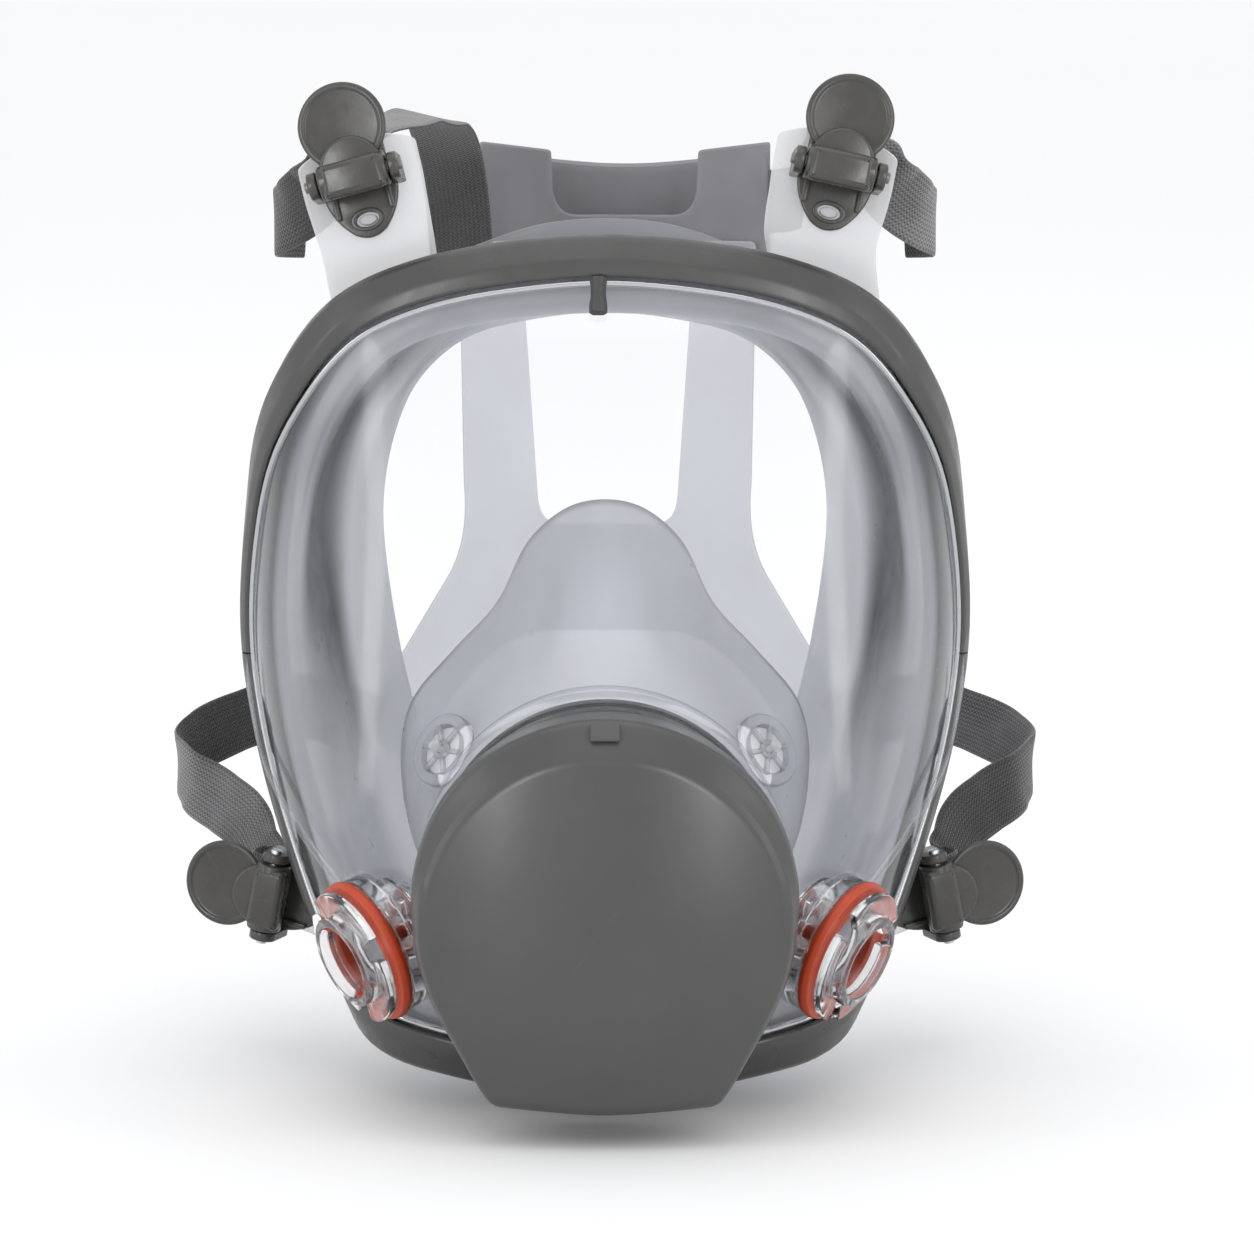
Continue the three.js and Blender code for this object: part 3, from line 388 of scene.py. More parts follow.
def node(tree, kind, inputs=None, **settings):
    """A shader node whose inputs are given as values, as sockets, or as nodes for their first output."""
    made = tree.nodes.new("ShaderNode" + kind)
    for key, value in settings.items():
        setattr(made, key, value)
    for key, value in (inputs or {}).items():
        if isinstance(value, bpy.types.Node):
            value = value.outputs[0]
        if isinstance(value, bpy.types.NodeSocket):
            tree.links.new(value, made.inputs[key])
        else:
            made.inputs[key].default_value = value
    return made


def coordinates(tree, kind="Object"):
    return node(tree, "TexCoord").outputs[kind]


def noise(tree, where, scale, detail=3):
    return node(tree, "TexNoise",
                {"Vector": where, "Scale": scale, "Detail": detail}).outputs["Fac"]


def ramp(tree, value, low, high, start=0.3, end=0.7):
    """A colour or grey that runs from low to high as value does from start to end."""
    made = node(tree, "ValToRGB", {"Fac": value})
    for stop, place, colour in zip(made.color_ramp.elements, (start, end), (low, high)):
        stop.position = place
        stop.color = colour if isinstance(colour, tuple) else (colour,) * 3 + (1,)
    return made.outputs["Color"]


def bump(tree, height, distance, strength=1.0):
    return node(tree, "Bump",
                {"Height": height, "Distance": distance, "Strength": strength}).outputs["Normal"]


def show(tree, shader):
    node(tree, "OutputMaterial", {"Surface": shader})


def mixed(tree, share, first, second):
    return node(tree, "MixShader", {0: share, 1: first, 2: second})


def maths(tree, operation, a, b=0.0):
    return node(tree, "Math", {0: a, 1: b}, operation=operation)


def mixed_colours(tree, share, first, second):
    return node(tree, "Mix", {"Factor": share, "A": first, "B": second},
                data_type="RGBA").outputs["Result"]


def show_front(tree, shader):
    """Shows a shader where a wall is entered, and lets light out of it unchanged."""
    leaving = node(tree, "NewGeometry").outputs["Backfacing"]
    clear = node(tree, "BsdfTransparent", {"Color": (1, 1, 1, 1)})
    show(tree, mixed(tree, leaving, shader, clear))


def tinted(colour, factor):
    return tuple(min(1, c * factor) for c in colour[:3]) + (1,)


def plastic(name, colour, rough, grain=1100, depth=0.00002, metal=0.0, worn=1.25, uneven=0.08):
    """Moulded plastic or metal: cloudy colour, fine grain, uneven gloss and rubbed edges."""
    material, tree = new_material(name)
    where = coordinates(tree)
    cloud = noise(tree, where, 42)
    fine = noise(tree, where, grain, 2)
    base = ramp(tree, cloud, tinted(colour, 0.91), tinted(colour, 1.09))
    pointed = node(tree, "NewGeometry").outputs["Pointiness"]
    edge = ramp(tree, pointed, 0.0, 1.0, 0.505, 0.56)
    rubbed = mixed_colours(tree, edge, base, tinted(colour, worn))
    gloss = ramp(tree, noise(tree, where, 160), max(rough - uneven, 0.02), min(rough + uneven, 1))
    shader = node(tree, "BsdfPrincipled", {
        "Base Color": rubbed, "Roughness": gloss, "Metallic": metal,
        "Normal": bump(tree, fine, depth, 0.6),
    })
    show(tree, shader)
    return material


def between(tree, value, empty, full):
    """How far a value has come from one number to another, from 0 to 1."""
    return node(tree, "MapRange", {
        "Value": value, "From Min": empty, "From Max": full})


def silicone(name, thin, density_and_shade, see_through, rough=0.35, ends_without_shade=None, turn=(0.2, 0.8)):
    """Translucent rubber: pale where it is seen square on, and denser where it is seen edge on. On the
    seal the edge-on colour is a dark painted shade, for the shadow on its walls where they turn
    sideways.

    Given a colour for the ends, the edge-on colour is that one above the temples and below the cheeks,
    so that the painted shade stays at the heights between them.
    """
    material, tree = new_material(name)
    where = coordinates(tree)
    cloud = noise(tree, where, 30)
    normal = bump(tree, noise(tree, where, 700, 2), 0.00003, 0.5)
    # the edge-on colour: denser rubber, and on the seal a dark painted shade
    density_and_shade_colour = ramp(tree, cloud, tinted(density_and_shade, 0.92), tinted(density_and_shade, 1.08))
    if ends_without_shade:
        height = node(tree, "SeparateXYZ", {"Vector": where}).outputs["Z"]
        middle = maths(tree, "MULTIPLY", between(tree, height, *CHEEK_HEIGHTS),
                       between(tree, height, *TEMPLE_HEIGHTS))
        density_and_shade_colour = mixed_colours(tree, middle, ends_without_shade, density_and_shade_colour)
    body = node(tree, "BsdfPrincipled", {
        "Base Color": density_and_shade_colour,
        "Roughness": ramp(tree, noise(tree, where, 140), rough - 0.08, rough + 0.1),
        "Normal": normal,
    })
    pale = ramp(tree, cloud, tinted(thin, 0.95), tinted(thin, 1.04))
    lit = node(tree, "BsdfPrincipled", {
        "Base Color": pale, "Roughness": rough, "Normal": normal})
    glow = node(tree, "BsdfTranslucent", {"Color": pale})
    glow = mixed(tree, 0.5, glow, lit)
    clear = node(tree, "BsdfTransparent", {"Color": (0.93, 0.94, 0.96, 1)})
    let_through = mixed(tree, see_through, glow, clear)
    facing = node(tree, "LayerWeight", {"Blend": 0.42}).outputs["Facing"]
    edge_on_share = ramp(tree, facing, 0.04, 1.0, *turn)
    show_front(tree, mixed(tree, edge_on_share, let_through, body))
    return material


def glass_plastic(name, tint, rough):
    """Thick clear plastic, which bends what is seen through it and lets the lamps' light pass."""
    material, tree = new_material(name)
    where = coordinates(tree)
    solid = node(tree, "BsdfPrincipled", {
        "Base Color": ramp(tree, noise(tree, where, 80), tinted(tint, 0.97), tint),
        "Roughness": ramp(tree, noise(tree, where, 300), rough, rough + 0.06),
        "Transmission Weight": 1.0, "IOR": 1.47,
        "Normal": bump(tree, noise(tree, where, 260, 2), 0.00006, 0.4),
    })
    lamp = node(tree, "LightPath").outputs["Is Shadow Ray"]
    clear = node(tree, "BsdfTransparent", {"Color": (0.9, 0.9, 0.9, 1)})
    show(tree, mixed(tree, lamp, solid, clear))
    return material


def clear_plastic(name, tint, edge_tint, rough, shine, milk):
    """Clear moulded plastic: seen through, brighter and greyer where it turns away."""
    material, tree = new_material(name)
    where = coordinates(tree)
    ripple = bump(tree, noise(tree, where, 55, 2), 0.00008, 0.35)
    facing = node(tree, "LayerWeight", {"Blend": 0.5}).outputs["Facing"]
    through = node(tree, "BsdfTransparent", {
        "Color": ramp(tree, facing, tint, edge_tint, 0.25, 0.95)})
    gloss = node(tree, "BsdfGlossy", {
        "Color": (0.97, 0.98, 1, 1),
        "Roughness": ramp(tree, noise(tree, where, 90), rough, rough + 0.05), "Normal": ripple})
    haze = node(tree, "BsdfTranslucent", {"Color": (0.95, 0.955, 0.96, 1)})
    through = mixed(tree, milk, through, haze)
    steep = maths(tree, "POWER", facing, 4.5)
    share = node(tree, "MapRange", {
        "Value": steep, "To Min": shine, "To Max": 0.85})
    show_front(tree, mixed(tree, share, through, gloss))
    return material


def webbing_material(name, dark, light):
    """Woven elastic: rows of stitches along the strap and ribs across it, from its own lengths, and
    painted shade darkening its inner side.
    """
    material, tree = new_material(name)
    uv = node(tree, "SeparateXYZ", {"Vector": coordinates(tree, "UV")}).outputs

    def times(a, b):
        return maths(tree, "MULTIPLY", a, b)

    def plus(a, b):
        return maths(tree, "ADD", a, b)

    rib_pitch, pick_pitch = 0.00115, 0.00085
    ribs = maths(tree, "SINE", times(uv["Y"], 2 * math.pi / rib_pitch))
    picks = maths(tree, "SINE", times(uv["X"], 2 * math.pi / pick_pitch))
    height = plus(times(times(ribs, picks), 0.5), times(ribs, 0.25))
    height = plus(height, times(noise(tree, coordinates(tree), 2600, 4), 0.9))
    cloud = noise(tree, coordinates(tree), 60)
    base = ramp(tree, plus(times(height, 0.45), times(cloud, 0.6)), dark, light, 0.1, 0.95)
    # painted shade: the strap's inner side is darkened, for the shadow it lies in
    shaded_inner_side = maths(tree, "GREATER_THAN", uv["Y"], INNER_SIDE / 2)
    base = mixed_colours(tree, times(shaded_inner_side, 0.72), base, tinted(dark, 0.6))
    shader = node(tree, "BsdfPrincipled", {
        "Base Color": base, "Roughness": 0.9, "Sheen Weight": 0.35, "Sheen Roughness": 0.5,
        "Normal": bump(tree, height, 0.00022, 0.9),
    })
    show(tree, shader)
    return material


FRAME_GREY = plastic("frame_grey", shade(58, 58, 57), 0.34)
COVER_GREY = plastic("cover_grey", shade(62, 62, 62), 0.31, grain=1500, depth=0.00001, uneven=0.025)
BUCKLE_GREY = plastic("buckle_grey", shade(56, 55, 53), 0.27)
PIN_GREY = plastic("pin_grey", shade(104, 102, 99), 0.35, metal=0.4)
CROWN_GREY = plastic("crown_grey", shade(112, 111, 114), 0.5)
DARK_RUBBER = plastic("dark_rubber", shade(52, 52, 53), 0.6)
GASKET_ORANGE = plastic("gasket_orange", shade(164, 52, 12), 0.45, worn=1.15)
STEEL = plastic("steel", shade(196, 198, 200), 0.25, grain=2400, metal=1.0, worn=1.1)
# the seal's dark edge-on colour is painted shade on its walls, lighter at the cheeks and above the
# temples
SEAL_SILICONE = silicone("seal_silicone", shade(200, 202, 207), shade(38, 40, 44), 0.08,
                         ends_without_shade=shade(190, 192, 197), turn=(0.14, 0.68))
TAB_SILICONE = silicone("tab_silicone", shade(246, 246, 247), shade(215, 215, 216), 0.2)
CUP_SILICONE = silicone("cup_silicone", shade(226, 228, 233), shade(158, 160, 165), 0.24)
SEAT_SILICONE = silicone("seat_silicone", shade(192, 194, 199), shade(128, 130, 135), 0.6)
CRADLE_SILICONE = silicone("cradle_silicone", shade(214, 215, 221), shade(160, 162, 168), 0.12)
LENS_CLEAR = clear_plastic("lens_clear", (0.965, 0.97, 0.98, 1), (0.86, 0.87, 0.89, 1),
                           rough=0.1, shine=0.045, milk=0.03)
PORT_CLEAR = glass_plastic("port_clear", (0.97, 0.975, 0.98, 1), 0.03)
CREASE_CLEAR = clear_plastic("crease_clear", (0.8, 0.81, 0.83, 1), (0.3, 0.31, 0.33, 1),
                             rough=0.08, shine=0.12, milk=0.1)
RIM_CLEAR = clear_plastic("rim_clear", (0.9, 0.91, 0.93, 1), (0.5, 0.51, 0.53, 1),
                          rough=0.05, shine=0.45, milk=0.2)
WEBBING = webbing_material("webbing", shade(34, 33, 33), shade(138, 137, 138))


# ---- visor
PORT_BASE = np.array([52.2, -89, -72.7])
PORT_AXIS = unit(np.array([0.81, -0.48, -0.34]))
UP = np.array([0, 0, 1.0])


def port_matrix(side):
    z = PORT_AXIS * [side, 1, 1]
    y = unit(UP - z * z[2])
    return basis(np.cross(y, z), y, z, PORT_BASE * [side, 1, 1])


def centre_lathe(profile, radius=0.3, steps=128):
    """A piece turned about the centre port's axis, from [radius, y] points."""
    points, faces = lathe(profile, radius, steps, axis="y")
    return points + [0, 0, PORT_Z], faces


def port_ring():
    r = (COLLAR_R + COLLAR_BORE_R) / 2
    angle = np.radians(PORT_ANGLES)
    x, z = r * np.sin(angle), PORT_Z + r * np.cos(angle)
    return loop_through(np.stack([visor_degrees(x, z), 0 * x, z], 1))


def visor():
    columns = 26
    share = np.linspace(0, 1, columns)[None, :, None]
    domain = EDGE_DOMAIN[:, None] * (1 - share) + port_ring()[:, None] * share
    rows = visor_point(domain[..., 0], domain[..., 2])
    shell = sheet(rows, VISOR_T, 0, closed=True)
    collar = centre_lathe([
        [COLLAR_R, -110], [COLLAR_R, -91], [COLLAR_BORE_R, -91], [COLLAR_BORE_R, -99.6],
        [38.4, -99.6], [38.4, -101.8], [COLLAR_BORE_R, -101.8], [COLLAR_BORE_R, -110],
    ], 0.5)
    added, removed = [collar], []
    for side in (1, -1):
        matrix = port_matrix(side)
        added.append(placed(lathe([[0, -3], [15.6, -3], [18.4, -0.3], [0, -0.3]], 0.5), matrix))
        removed.append(placed(lathe([[0, -0.3], [19.5, -0.3], [19.5, 12], [0, 12]], 0), matrix))
        removed.append(placed(lathe([[0, -20], [14.3, -20], [14.3, 1], [0, 1]], 0), matrix))
    carved("visor", shell, added, removed, LENS_CLEAR, "clear_plastic", ["visor_lens"])


visor()


def bead(domain, out, radius):
    """A rounded rib that follows points of the visor's domain, standing off its outer face."""
    normal = visor_normal(domain[:, 0], domain[:, 2])
    at = visor_point(domain[:, 0], domain[:, 2]) + normal * VISOR_T
    side = unit(np.cross(normal, np.gradient(at, axis=0)))
    angle = np.linspace(0, 2 * math.pi, 12, endpoint=False)[None, :, None]
    at = at + side * out
    steps = np.arange(len(at))
    taper = np.clip(np.minimum(steps, steps[::-1]) / 6, 0.15, 1)[:, None, None]
    rings = at[:, None] + taper * radius * (
        side[:, None] * np.cos(angle) + normal[:, None] * np.sin(angle) * 0.7)
    return skin(rings, wrap_columns=True, fill_rows=True)


def visor_crease():
    """The moulded fold at each cheek, from the temple to the filter port."""
    places = np.array([
        [86.5, -13], [84.2, -30], [78.5, -40], [70.5, -49.5], [61.5, -59.5], [56, -66]])
    parts = []
    for side in (1, -1):
        x, z = places.T
        x = np.minimum(x, smooth(1, z) * 0.9999)
        domain = spline(np.stack([visor_degrees(x, z) * side, 0 * x, z], 1), np.linspace(0, 1, 90))
        parts += [bead(domain, 0, 0.75), bead(domain, 1.9 * side, 0.45)]
    piece("visor_crease", merged(*parts), CREASE_CLEAR, "clear_plastic", stands_for=(), sharp=60)


visor_crease()


def visor_rim():
    """The lens's raised rim, all round beside the frame."""
    angle = np.linspace(0, 2 * math.pi, 12, endpoint=False)[None, :, None]
    rings = (EDGE_AT[:, None] + EDGE_OUT[:, None] * (-7.5 + 0.8 * np.cos(angle))
             + EDGE_NORMAL[:, None] * (0.1 + 0.8 * np.sin(angle)))
    return skin(rings, wrap_rows=True, wrap_columns=True)


piece("visor_rim", visor_rim(), RIM_CLEAR, "clear_plastic", stands_for=(), sharp=60)

# ---- frame
FRAME_SECTION = [
    [-6.4, 0.8], [-6.2, 1.9], [-3, 3.3], [3.4, 3.3], [6.2, 1.4], [6.4, -6.6], [5, -8.3],
    [-2.6, -8.3], [-2.6, -6.7], [1.6, -6.5], [1.6, 0.8],
]
SCREW_U, SCREW_V = 9.6, -4


def temple_matrix(side):
    x, normal = EDGE_OUT[TEMPLE], EDGE_NORMAL[TEMPLE]
    up = unit(np.cross(x, normal))
    up = up if up[2] > 0 else -up
    second = unit(np.cross(up, x))
    if second @ normal < 0:
        second = -second
    return np.diag([side, 1, 1, 1]) @ basis(x, second, up, EDGE_AT[TEMPLE])


def frame_run(start, end):
    """The channel along the edge between two places, its ends cut back a little."""
    section = rounded(FRAME_SECTION, 0.9)
    i = np.arange(start, end + 1) % STEPS
    rings = (EDGE_AT[i, None] + EDGE_OUT[i, None] * section[None, :, :1]
             + EDGE_NORMAL[i, None] * section[None, :, 1:])
    for end_row, next_row in ((0, 1), (-1, -2)):
        way = unit(EDGE_AT[i[next_row]] - EDGE_AT[i[end_row]])
        rings[end_row] += way * 0.25
    return skin(rings, wrap_columns=True, fill_rows=True)


def frame_half(name, start, end, low, high):
    parts = [frame_run(start, end)]
    for side in (1, -1):
        outline = rounded([[5.4, SCREW_V - 3.2], [SCREW_U + 3.4, SCREW_V - 3.2],
                           [SCREW_U + 3.4, SCREW_V + 3.2], [5.4, SCREW_V + 3.2]], 1.6)
        hole = arc(1.95, 0, 345, 24, (SCREW_U, SCREW_V))
        parts.append(placed(plate([outline, hole], low, high, 0.5), temple_matrix(side)))
    piece(name, merged(*parts), FRAME_GREY, "grey_plastic")


frame_half("upper_frame", -TEMPLE, TEMPLE, 0.3, 6)
frame_half("lower_frame", TEMPLE, STEPS - TEMPLE, -6, -0.3)

for word, side in (("left", -1), ("right", 1)):
    at_screw = temple_matrix(side) @ np.array(Matrix.Translation((SCREW_U, SCREW_V, 0)))
    screw = lathe([[0, -8.6], [1.6, -8.6], [1.6, 6.3], [2.9, 6.3], [2.9, 8], [1.2, 8.4],
                   [1.2, 7.2], [0, 7.2]], 0.25, 48)
    nut = lathe([[1.95, -8.4], [3.2, -8.4], [3.2, -6.3], [1.95, -6.3]], 0.2, 6)
    for kind, part in (("frame_screw", screw), ("frame_nut", nut)):
        piece(f"{kind}_{word}", placed(part, at_screw), STEEL, "steel")


def visor_clip():
    """The dark tongue at the forehead, a little wider at both of its ends."""
    z = np.linspace(75.3, 83, 24)
    width = 2.6 - 0.7 * np.clip((z - 77) / 2, 0, 1) + 0.5 * np.clip((z - 81) / 1.5, 0, 1)
    at = visor_point(0, z) + visor_normal(0 * z, z) * 1.6
    across = np.linspace(-0.5, 0.5, 7)
    rows = at[:, None] + [1, 0, 0] * (across[None, :, None] * width[:, None, None] - 1.6)
    piece("visor_clip", sheet(rows, 1.1, 1.1), DARK_RUBBER, "grey_plastic")


visor_clip()

# ---- buckles
def lean(degrees, back):
    return np.array([math.sin(math.radians(degrees)), back, math.cos(math.radians(degrees))])


def vec(*values):
    return np.array(values, float)


# each buckle's place, the way its tongue points and the way its face looks
BUCKLES = {
    "upper_left": (vec(-59.8, -44, 106.2), lean(-14.5, 0.2), vec(-0.1, -1, 0.12)),
    "upper_right": (vec(56.2, -44, 108), lean(12, 0.2), vec(0.06, -1, 0.12)),
    "lower_left": (vec(-81.5, -20, -74.3), vec(-0.92, 0.34, 0.19), vec(-0.3, -0.95, 0)),
    "lower_right": (vec(81.5, -20, -74.3), vec(0.92, 0.34, 0.19), vec(0.3, -0.95, 0)),
}
AXLE_H = 8.2
AXLE_R = 1.4


def buckle_matrix(name):
    at, up, out = BUCKLES[name]
    y = unit(up)
    z = unit(out - y * (out @ y))
    return basis(np.cross(y, z), y, z, at)


def along_x(part):
    """A part drawn in x-y with its thickness in z, turned so that its thickness runs along x."""
    points, faces = part
    return points[:, [2, 0, 1]], faces


def buckle_base():
    outline = np.vstack([
        [[-9.3, 2.6], [-9.3, -2.5]], curve_to((-9.3, -2.5), (-8.8, -8.5), (-4, -13.2)),
        curve_to((-4, -13.2), (0, -16), (4, -13.2)), curve_to((4, -13.2), (8.8, -8.5), (9.3, -2.5)),
        [[9.3, 2.6]],
    ])
    outline = outline[np.r_[True, np.linalg.norm(np.diff(outline, axis=0), axis=1) > 0.01]]
    hole = arc(1, 0, 345, 24) * [2.9, 1.8] + [0, -10.2]
    raised = arc(1, 0, 345, 32) * [4.1, 2.8] + [0, -10.2]
    parts = [plate([outline, hole], 0, 2, 0.5), plate([raised, hole], 1.6, 2.5, 0.3)]
    ear = np.vstack([[[-3.4, 0], [3.4, 0]], arc(3.4, 0, 180, 20, (0, 7.7))])
    for low, high in ((8.9, 11.3), (-11.3, -8.9)):
        parts.append(along_x(plate([ear], low, high, 0.5)))
    for x in (-6.8, 6.8):
        parts.append(rounded_box(x - 0.7, x + 0.7, -9, 2, 1.6, 3.2, 0.6, 0.4))
    return merged(*parts)


def buckle_lever():
    """The thumb disc with a raised rim, and the cam drum on its axle."""
    drum = lathe([[1.5, -8.5], [4.3, -8.5], [4.3, 8.5], [1.5, 8.5]], 0.6, 64, axis="x")
    drum = drum[0] + [0, 0, AXLE_H], drum[1]
    disc = lathe([[0, -1], [10, -1], [10.8, -0.3], [10.8, 0.5], [10.3, 1], [9.4, 1], [8.9, 0.55],
                  [0, 0.35]], 0.4, 96)
    disc = disc[0] + [0, 12.6, AXLE_H - 1.4], disc[1]
    hood = plate([np.vstack([[[7.6, 0.5]], arc(7.6, 0, 180, 28, (0, 2.2)), [[-7.6, 0.5]]])],
                 AXLE_H - 1.6, AXLE_H + 1.7, 1.0)
    cam = plate([rounded([[-7.9, -4.8], [7.9, -4.8], [7.5, 3.9], [-7.5, 3.9]], 1.6)],
                AXLE_H + 0.6, AXLE_H + 4.5, 1.7)
    return merged(drum, disc, hood, cam)


for name in BUCKLES:
    where = buckle_matrix(name)
    piece(f"buckle_base_{name}", placed(buckle_base(), where), BUCKLE_GREY, "grey_plastic")
    piece(f"buckle_lever_{name}", placed(buckle_lever(), where), BUCKLE_GREY, "grey_plastic",
          f"lever_{name}")
    pin = lathe([[0, -12.2], [AXLE_R, -12.2], [AXLE_R, 12.2], [0, 12.2]], 0.4, 32, axis="x")
    finish = PIN_GREY if name.startswith("upper") else STEEL
    piece(f"buckle_pin_{name}", placed((pin[0] + [0, 0, AXLE_H], pin[1]), where), finish, "steel")

# ---- face seal
SEAL_FLANGE = [[-0.9, -4.9], [-6.4, -6.4], [-7.2, -10.9]]
# four rings round the seal, from its wall to its lip, each at twelve places of the right half
SEAL_RINGS = [
    [[0, -54, 79.5], [21, -52, 78.5], [41.5, -45, 71.5], [57, -34, 60.5], [68.5, -24, 44.5],
     [74.5, -16.5, 22], [72, -15, -13], [66.5, -21, -37], [61.5, -32, -63], [48, -46, -85],
     [26, -60, -94.5], [0, -64, -96.5]],
    [[0, -19, 79.5], [19.5, -17, 77], [38.5, -10, 70], [52.5, -1, 58.5], [63, 5, 43],
     [68, 9, 20.5], [67, 10, -13], [62.5, 6, -37], [56, -4, -62.5], [43, -17, -85],
     [23, -27, -96], [0, -31, -99]],
    [[0, -12.5, 75.8], [18, -10.5, 73.3], [35.5, -3.5, 66.5], [48.5, 4.5, 55.5], [58, 9.5, 41],
     [62.5, 13, 20], [61, 13.5, -13], [56.5, 10, -36.5], [49.5, 1, -61], [37, -11, -81],
     [19.5, -21, -90.5], [0, -25, -93.5]],
    [[0, -13.5, 71.8], [17.5, -11.5, 70], [34, -5, 65], [46, 2, 55], [53, 7, 41.5],
     [57, 10.5, 20], [53.5, 10.5, -13], [47.5, 7, -37], [39, -1, -60], [29, -13, -76],
     [15.5, -22, -85], [0, -25.5, -88]],
]


def across_rings(columns, count):
    """Finer columns through a grid's columns, by a smooth curve along each row."""
    grid = np.stack(columns, 1)
    shares = np.linspace(0, 1, count)
    return np.stack([spline(row, shares) for row in grid])


def seal_skirt():
    i = np.arange(STEPS)
    flange = [edge_point(i, out, off) for out, off in SEAL_FLANGE]
    rings = [loop_through(ring) for ring in SEAL_RINGS]
    rows = across_rings(flange + rings, 40)
    half = np.full(40, SEAL_T / 2)
    half[-8:] = np.linspace(SEAL_T / 2, 0.6, 8)  # the lip thins towards its edge
    return sheet(rows, half, half, closed=True)


def seal_tab(name, edge_index, widths, inward, tip):
    matrix = buckle_matrix(name)
    side = 1 if name.endswith("left") else -1
    across = matrix[:3, 0]
    local = [matrix[:3, :3] @ vec(0, y, -0.35 - SEAL_T / 2) + matrix[:3, 3]
             for y in (-17, -6, tip - 5, tip)]
    i = edge_index * FINE % STEPS
    root_across = EDGE_ALONG[i] * np.sign(EDGE_ALONG[i] @ across)
    path = [edge_point(i, 1, -8.6), edge_point(i, 6, -9.4), edge_point(i, 9.5, -10.5), *local]
    share = np.linspace(0, 1, 40)
    at = spline(path, share) + across * (side * inward * share)[:, None]
    way = unit(root_across + (across - root_across) * np.minimum(1, share * 2)[:, None])
    width = spline([[w, 0, 0] for w in widths], share)[:, 0]
    width[-4:] *= [0.99, 0.96, 0.9, 0.78]
    columns = np.linspace(-0.5, 0.5, 15)
    rows = at[:, None] + way[:, None] * (columns[None, :, None] * width[:, None, None])
    edge_bead = np.full(15, SEAL_T / 2)
    edge_bead[[0, 1, -2, -1]] += 0.25
    stud = lathe([[0, -1.6], [1, -1.6], [1, 1.8], [0, 1.8]], 0.35, 32)
    stud = stud[0] * [2.2, 1.25, 1] + [0, -10.2, 0.1], stud[1]
    return merged(sheet(rows, edge_bead, SEAL_T / 2), placed(stud, matrix))


def seal_brim():
    reach = 8 * FINE
    steps = np.arange(-reach, reach + 1)
    i = steps % STEPS
    rise = 11.7 * np.cos(steps / reach * math.pi / 2)[:, None] ** 1.5
    columns = [edge_point(i, out, off) for out, off in
               ([-2, -10.8], [2, -10.8], [6, -10.5], [5.6 + rise, -8.8])]
    return sheet(across_rings(columns, 16), 0.9, 0.9)


piece("seal_skirt", seal_skirt(), SEAL_SILICONE, "silicone", stands_for=["face_seal"], sharp=60)
piece("seal_brim", seal_brim(), SEAT_SILICONE, "silicone", stands_for=(), sharp=60)
UPPER_TAB = ([27, 27, 27, 26, 26, 27, 28, 28, 19], 0.8, 9.5)
LOWER_TAB = ([19, 18, 17, 16, 16, 16, 16, 15, 12], 0, 6.5)
for name, index, shape in (("upper_right", 8, UPPER_TAB), ("upper_left", -8, UPPER_TAB),
                           ("lower_right", 24, LOWER_TAB), ("lower_left", -24, LOWER_TAB)):
    piece(f"seal_tab_{name}", seal_tab(name, index, *shape), TAB_SILICONE, "silicone",
          stands_for=(), sharp=60)

# ---- centre adapter and valve
def centre_adapter():
    shell = centre_lathe([
        [41.1, -110.6], [41.1, -104.6], [37.6, -104.6], [37.6, -92.5], [29, -90.5], [29, -77],
        [26.4, -77], [26.4, -93], [17, -94.5], [17, -99], [19, -99], [19, -97.2], [35, -95.2],
        [35, -107.5], [38.5, -110.6],
    ], 0.4)
    hub = centre_lathe([[1.9, -98.4], [4, -98.4], [4, -95], [1.9, -95]], 0.3, 48)
    parts = [shell, hub]
    for angle in range(0, 360, 90):
        spoke = rounded_box(3.4, 17.6, -97.6, -95.4, -1.1, 1.1, 0.4, 0.3)
        parts.append(placed(spoke, turned_by(angle, "Y", (0, 0, PORT_Z))))
    return merged(*parts)


piece("center_adapter", centre_adapter(), FRAME_GREY, "grey_plastic")
CENTRE_PIECES = {
    "exhalation_valve": (
        [[0, -100.6], [18.3, -100.2], [18.3, -99.35], [1.5, -99.35], [1.5, -92.9], [2.6, -92.4],
         [1, -90], [0, -90]], TAB_SILICONE, "silicone", "exhalation_valve"),
    "adapter_gasket": ([[38.5, -104.2], [41.2, -104.2], [41.2, -102.2], [38.5, -102.2]],
                       DARK_RUBBER, "dark_rubber", "mask"),
    "adapter_lock_ring": ([[38, -99.2], [41.2, -99.2], [41.2, -94.6], [38, -94.6]],
                          FRAME_GREY, "grey_plastic", "mask"),
    "nose_cup_clamp": ([[31.6, -86], [33.3, -86], [33.3, -82], [31.6, -82]],
                       FRAME_GREY, "grey_plastic", "mask"),
}
for name, (profile, material, slot, body) in CENTRE_PIECES.items():
    piece(name, centre_lathe(profile), material, slot, body)

# ---- valve cover
# the cover's rim, from the middle of its top round to the middle of its foot
COVER_EDGE = [
    [0, -111.4, -15.7], [14.9, -111.4, -18.3], [28, -111.4, -25.9], [37.8, -111.4, -37.4],
    [42.8, -111.4, -51.4], [43.1, -111.4, -63.5], [41, -111.4, -75], [37.2, -111.2, -84],
    [32.6, -111, -92.5], [27.2, -104.5, -102.2], [25.5, -103.4, -104], [22, -103.2, -104.4],
    [11, -102.9, -105.1], [0, -102.6, -105.6],
]
COVER_CENTRE_Z = -60


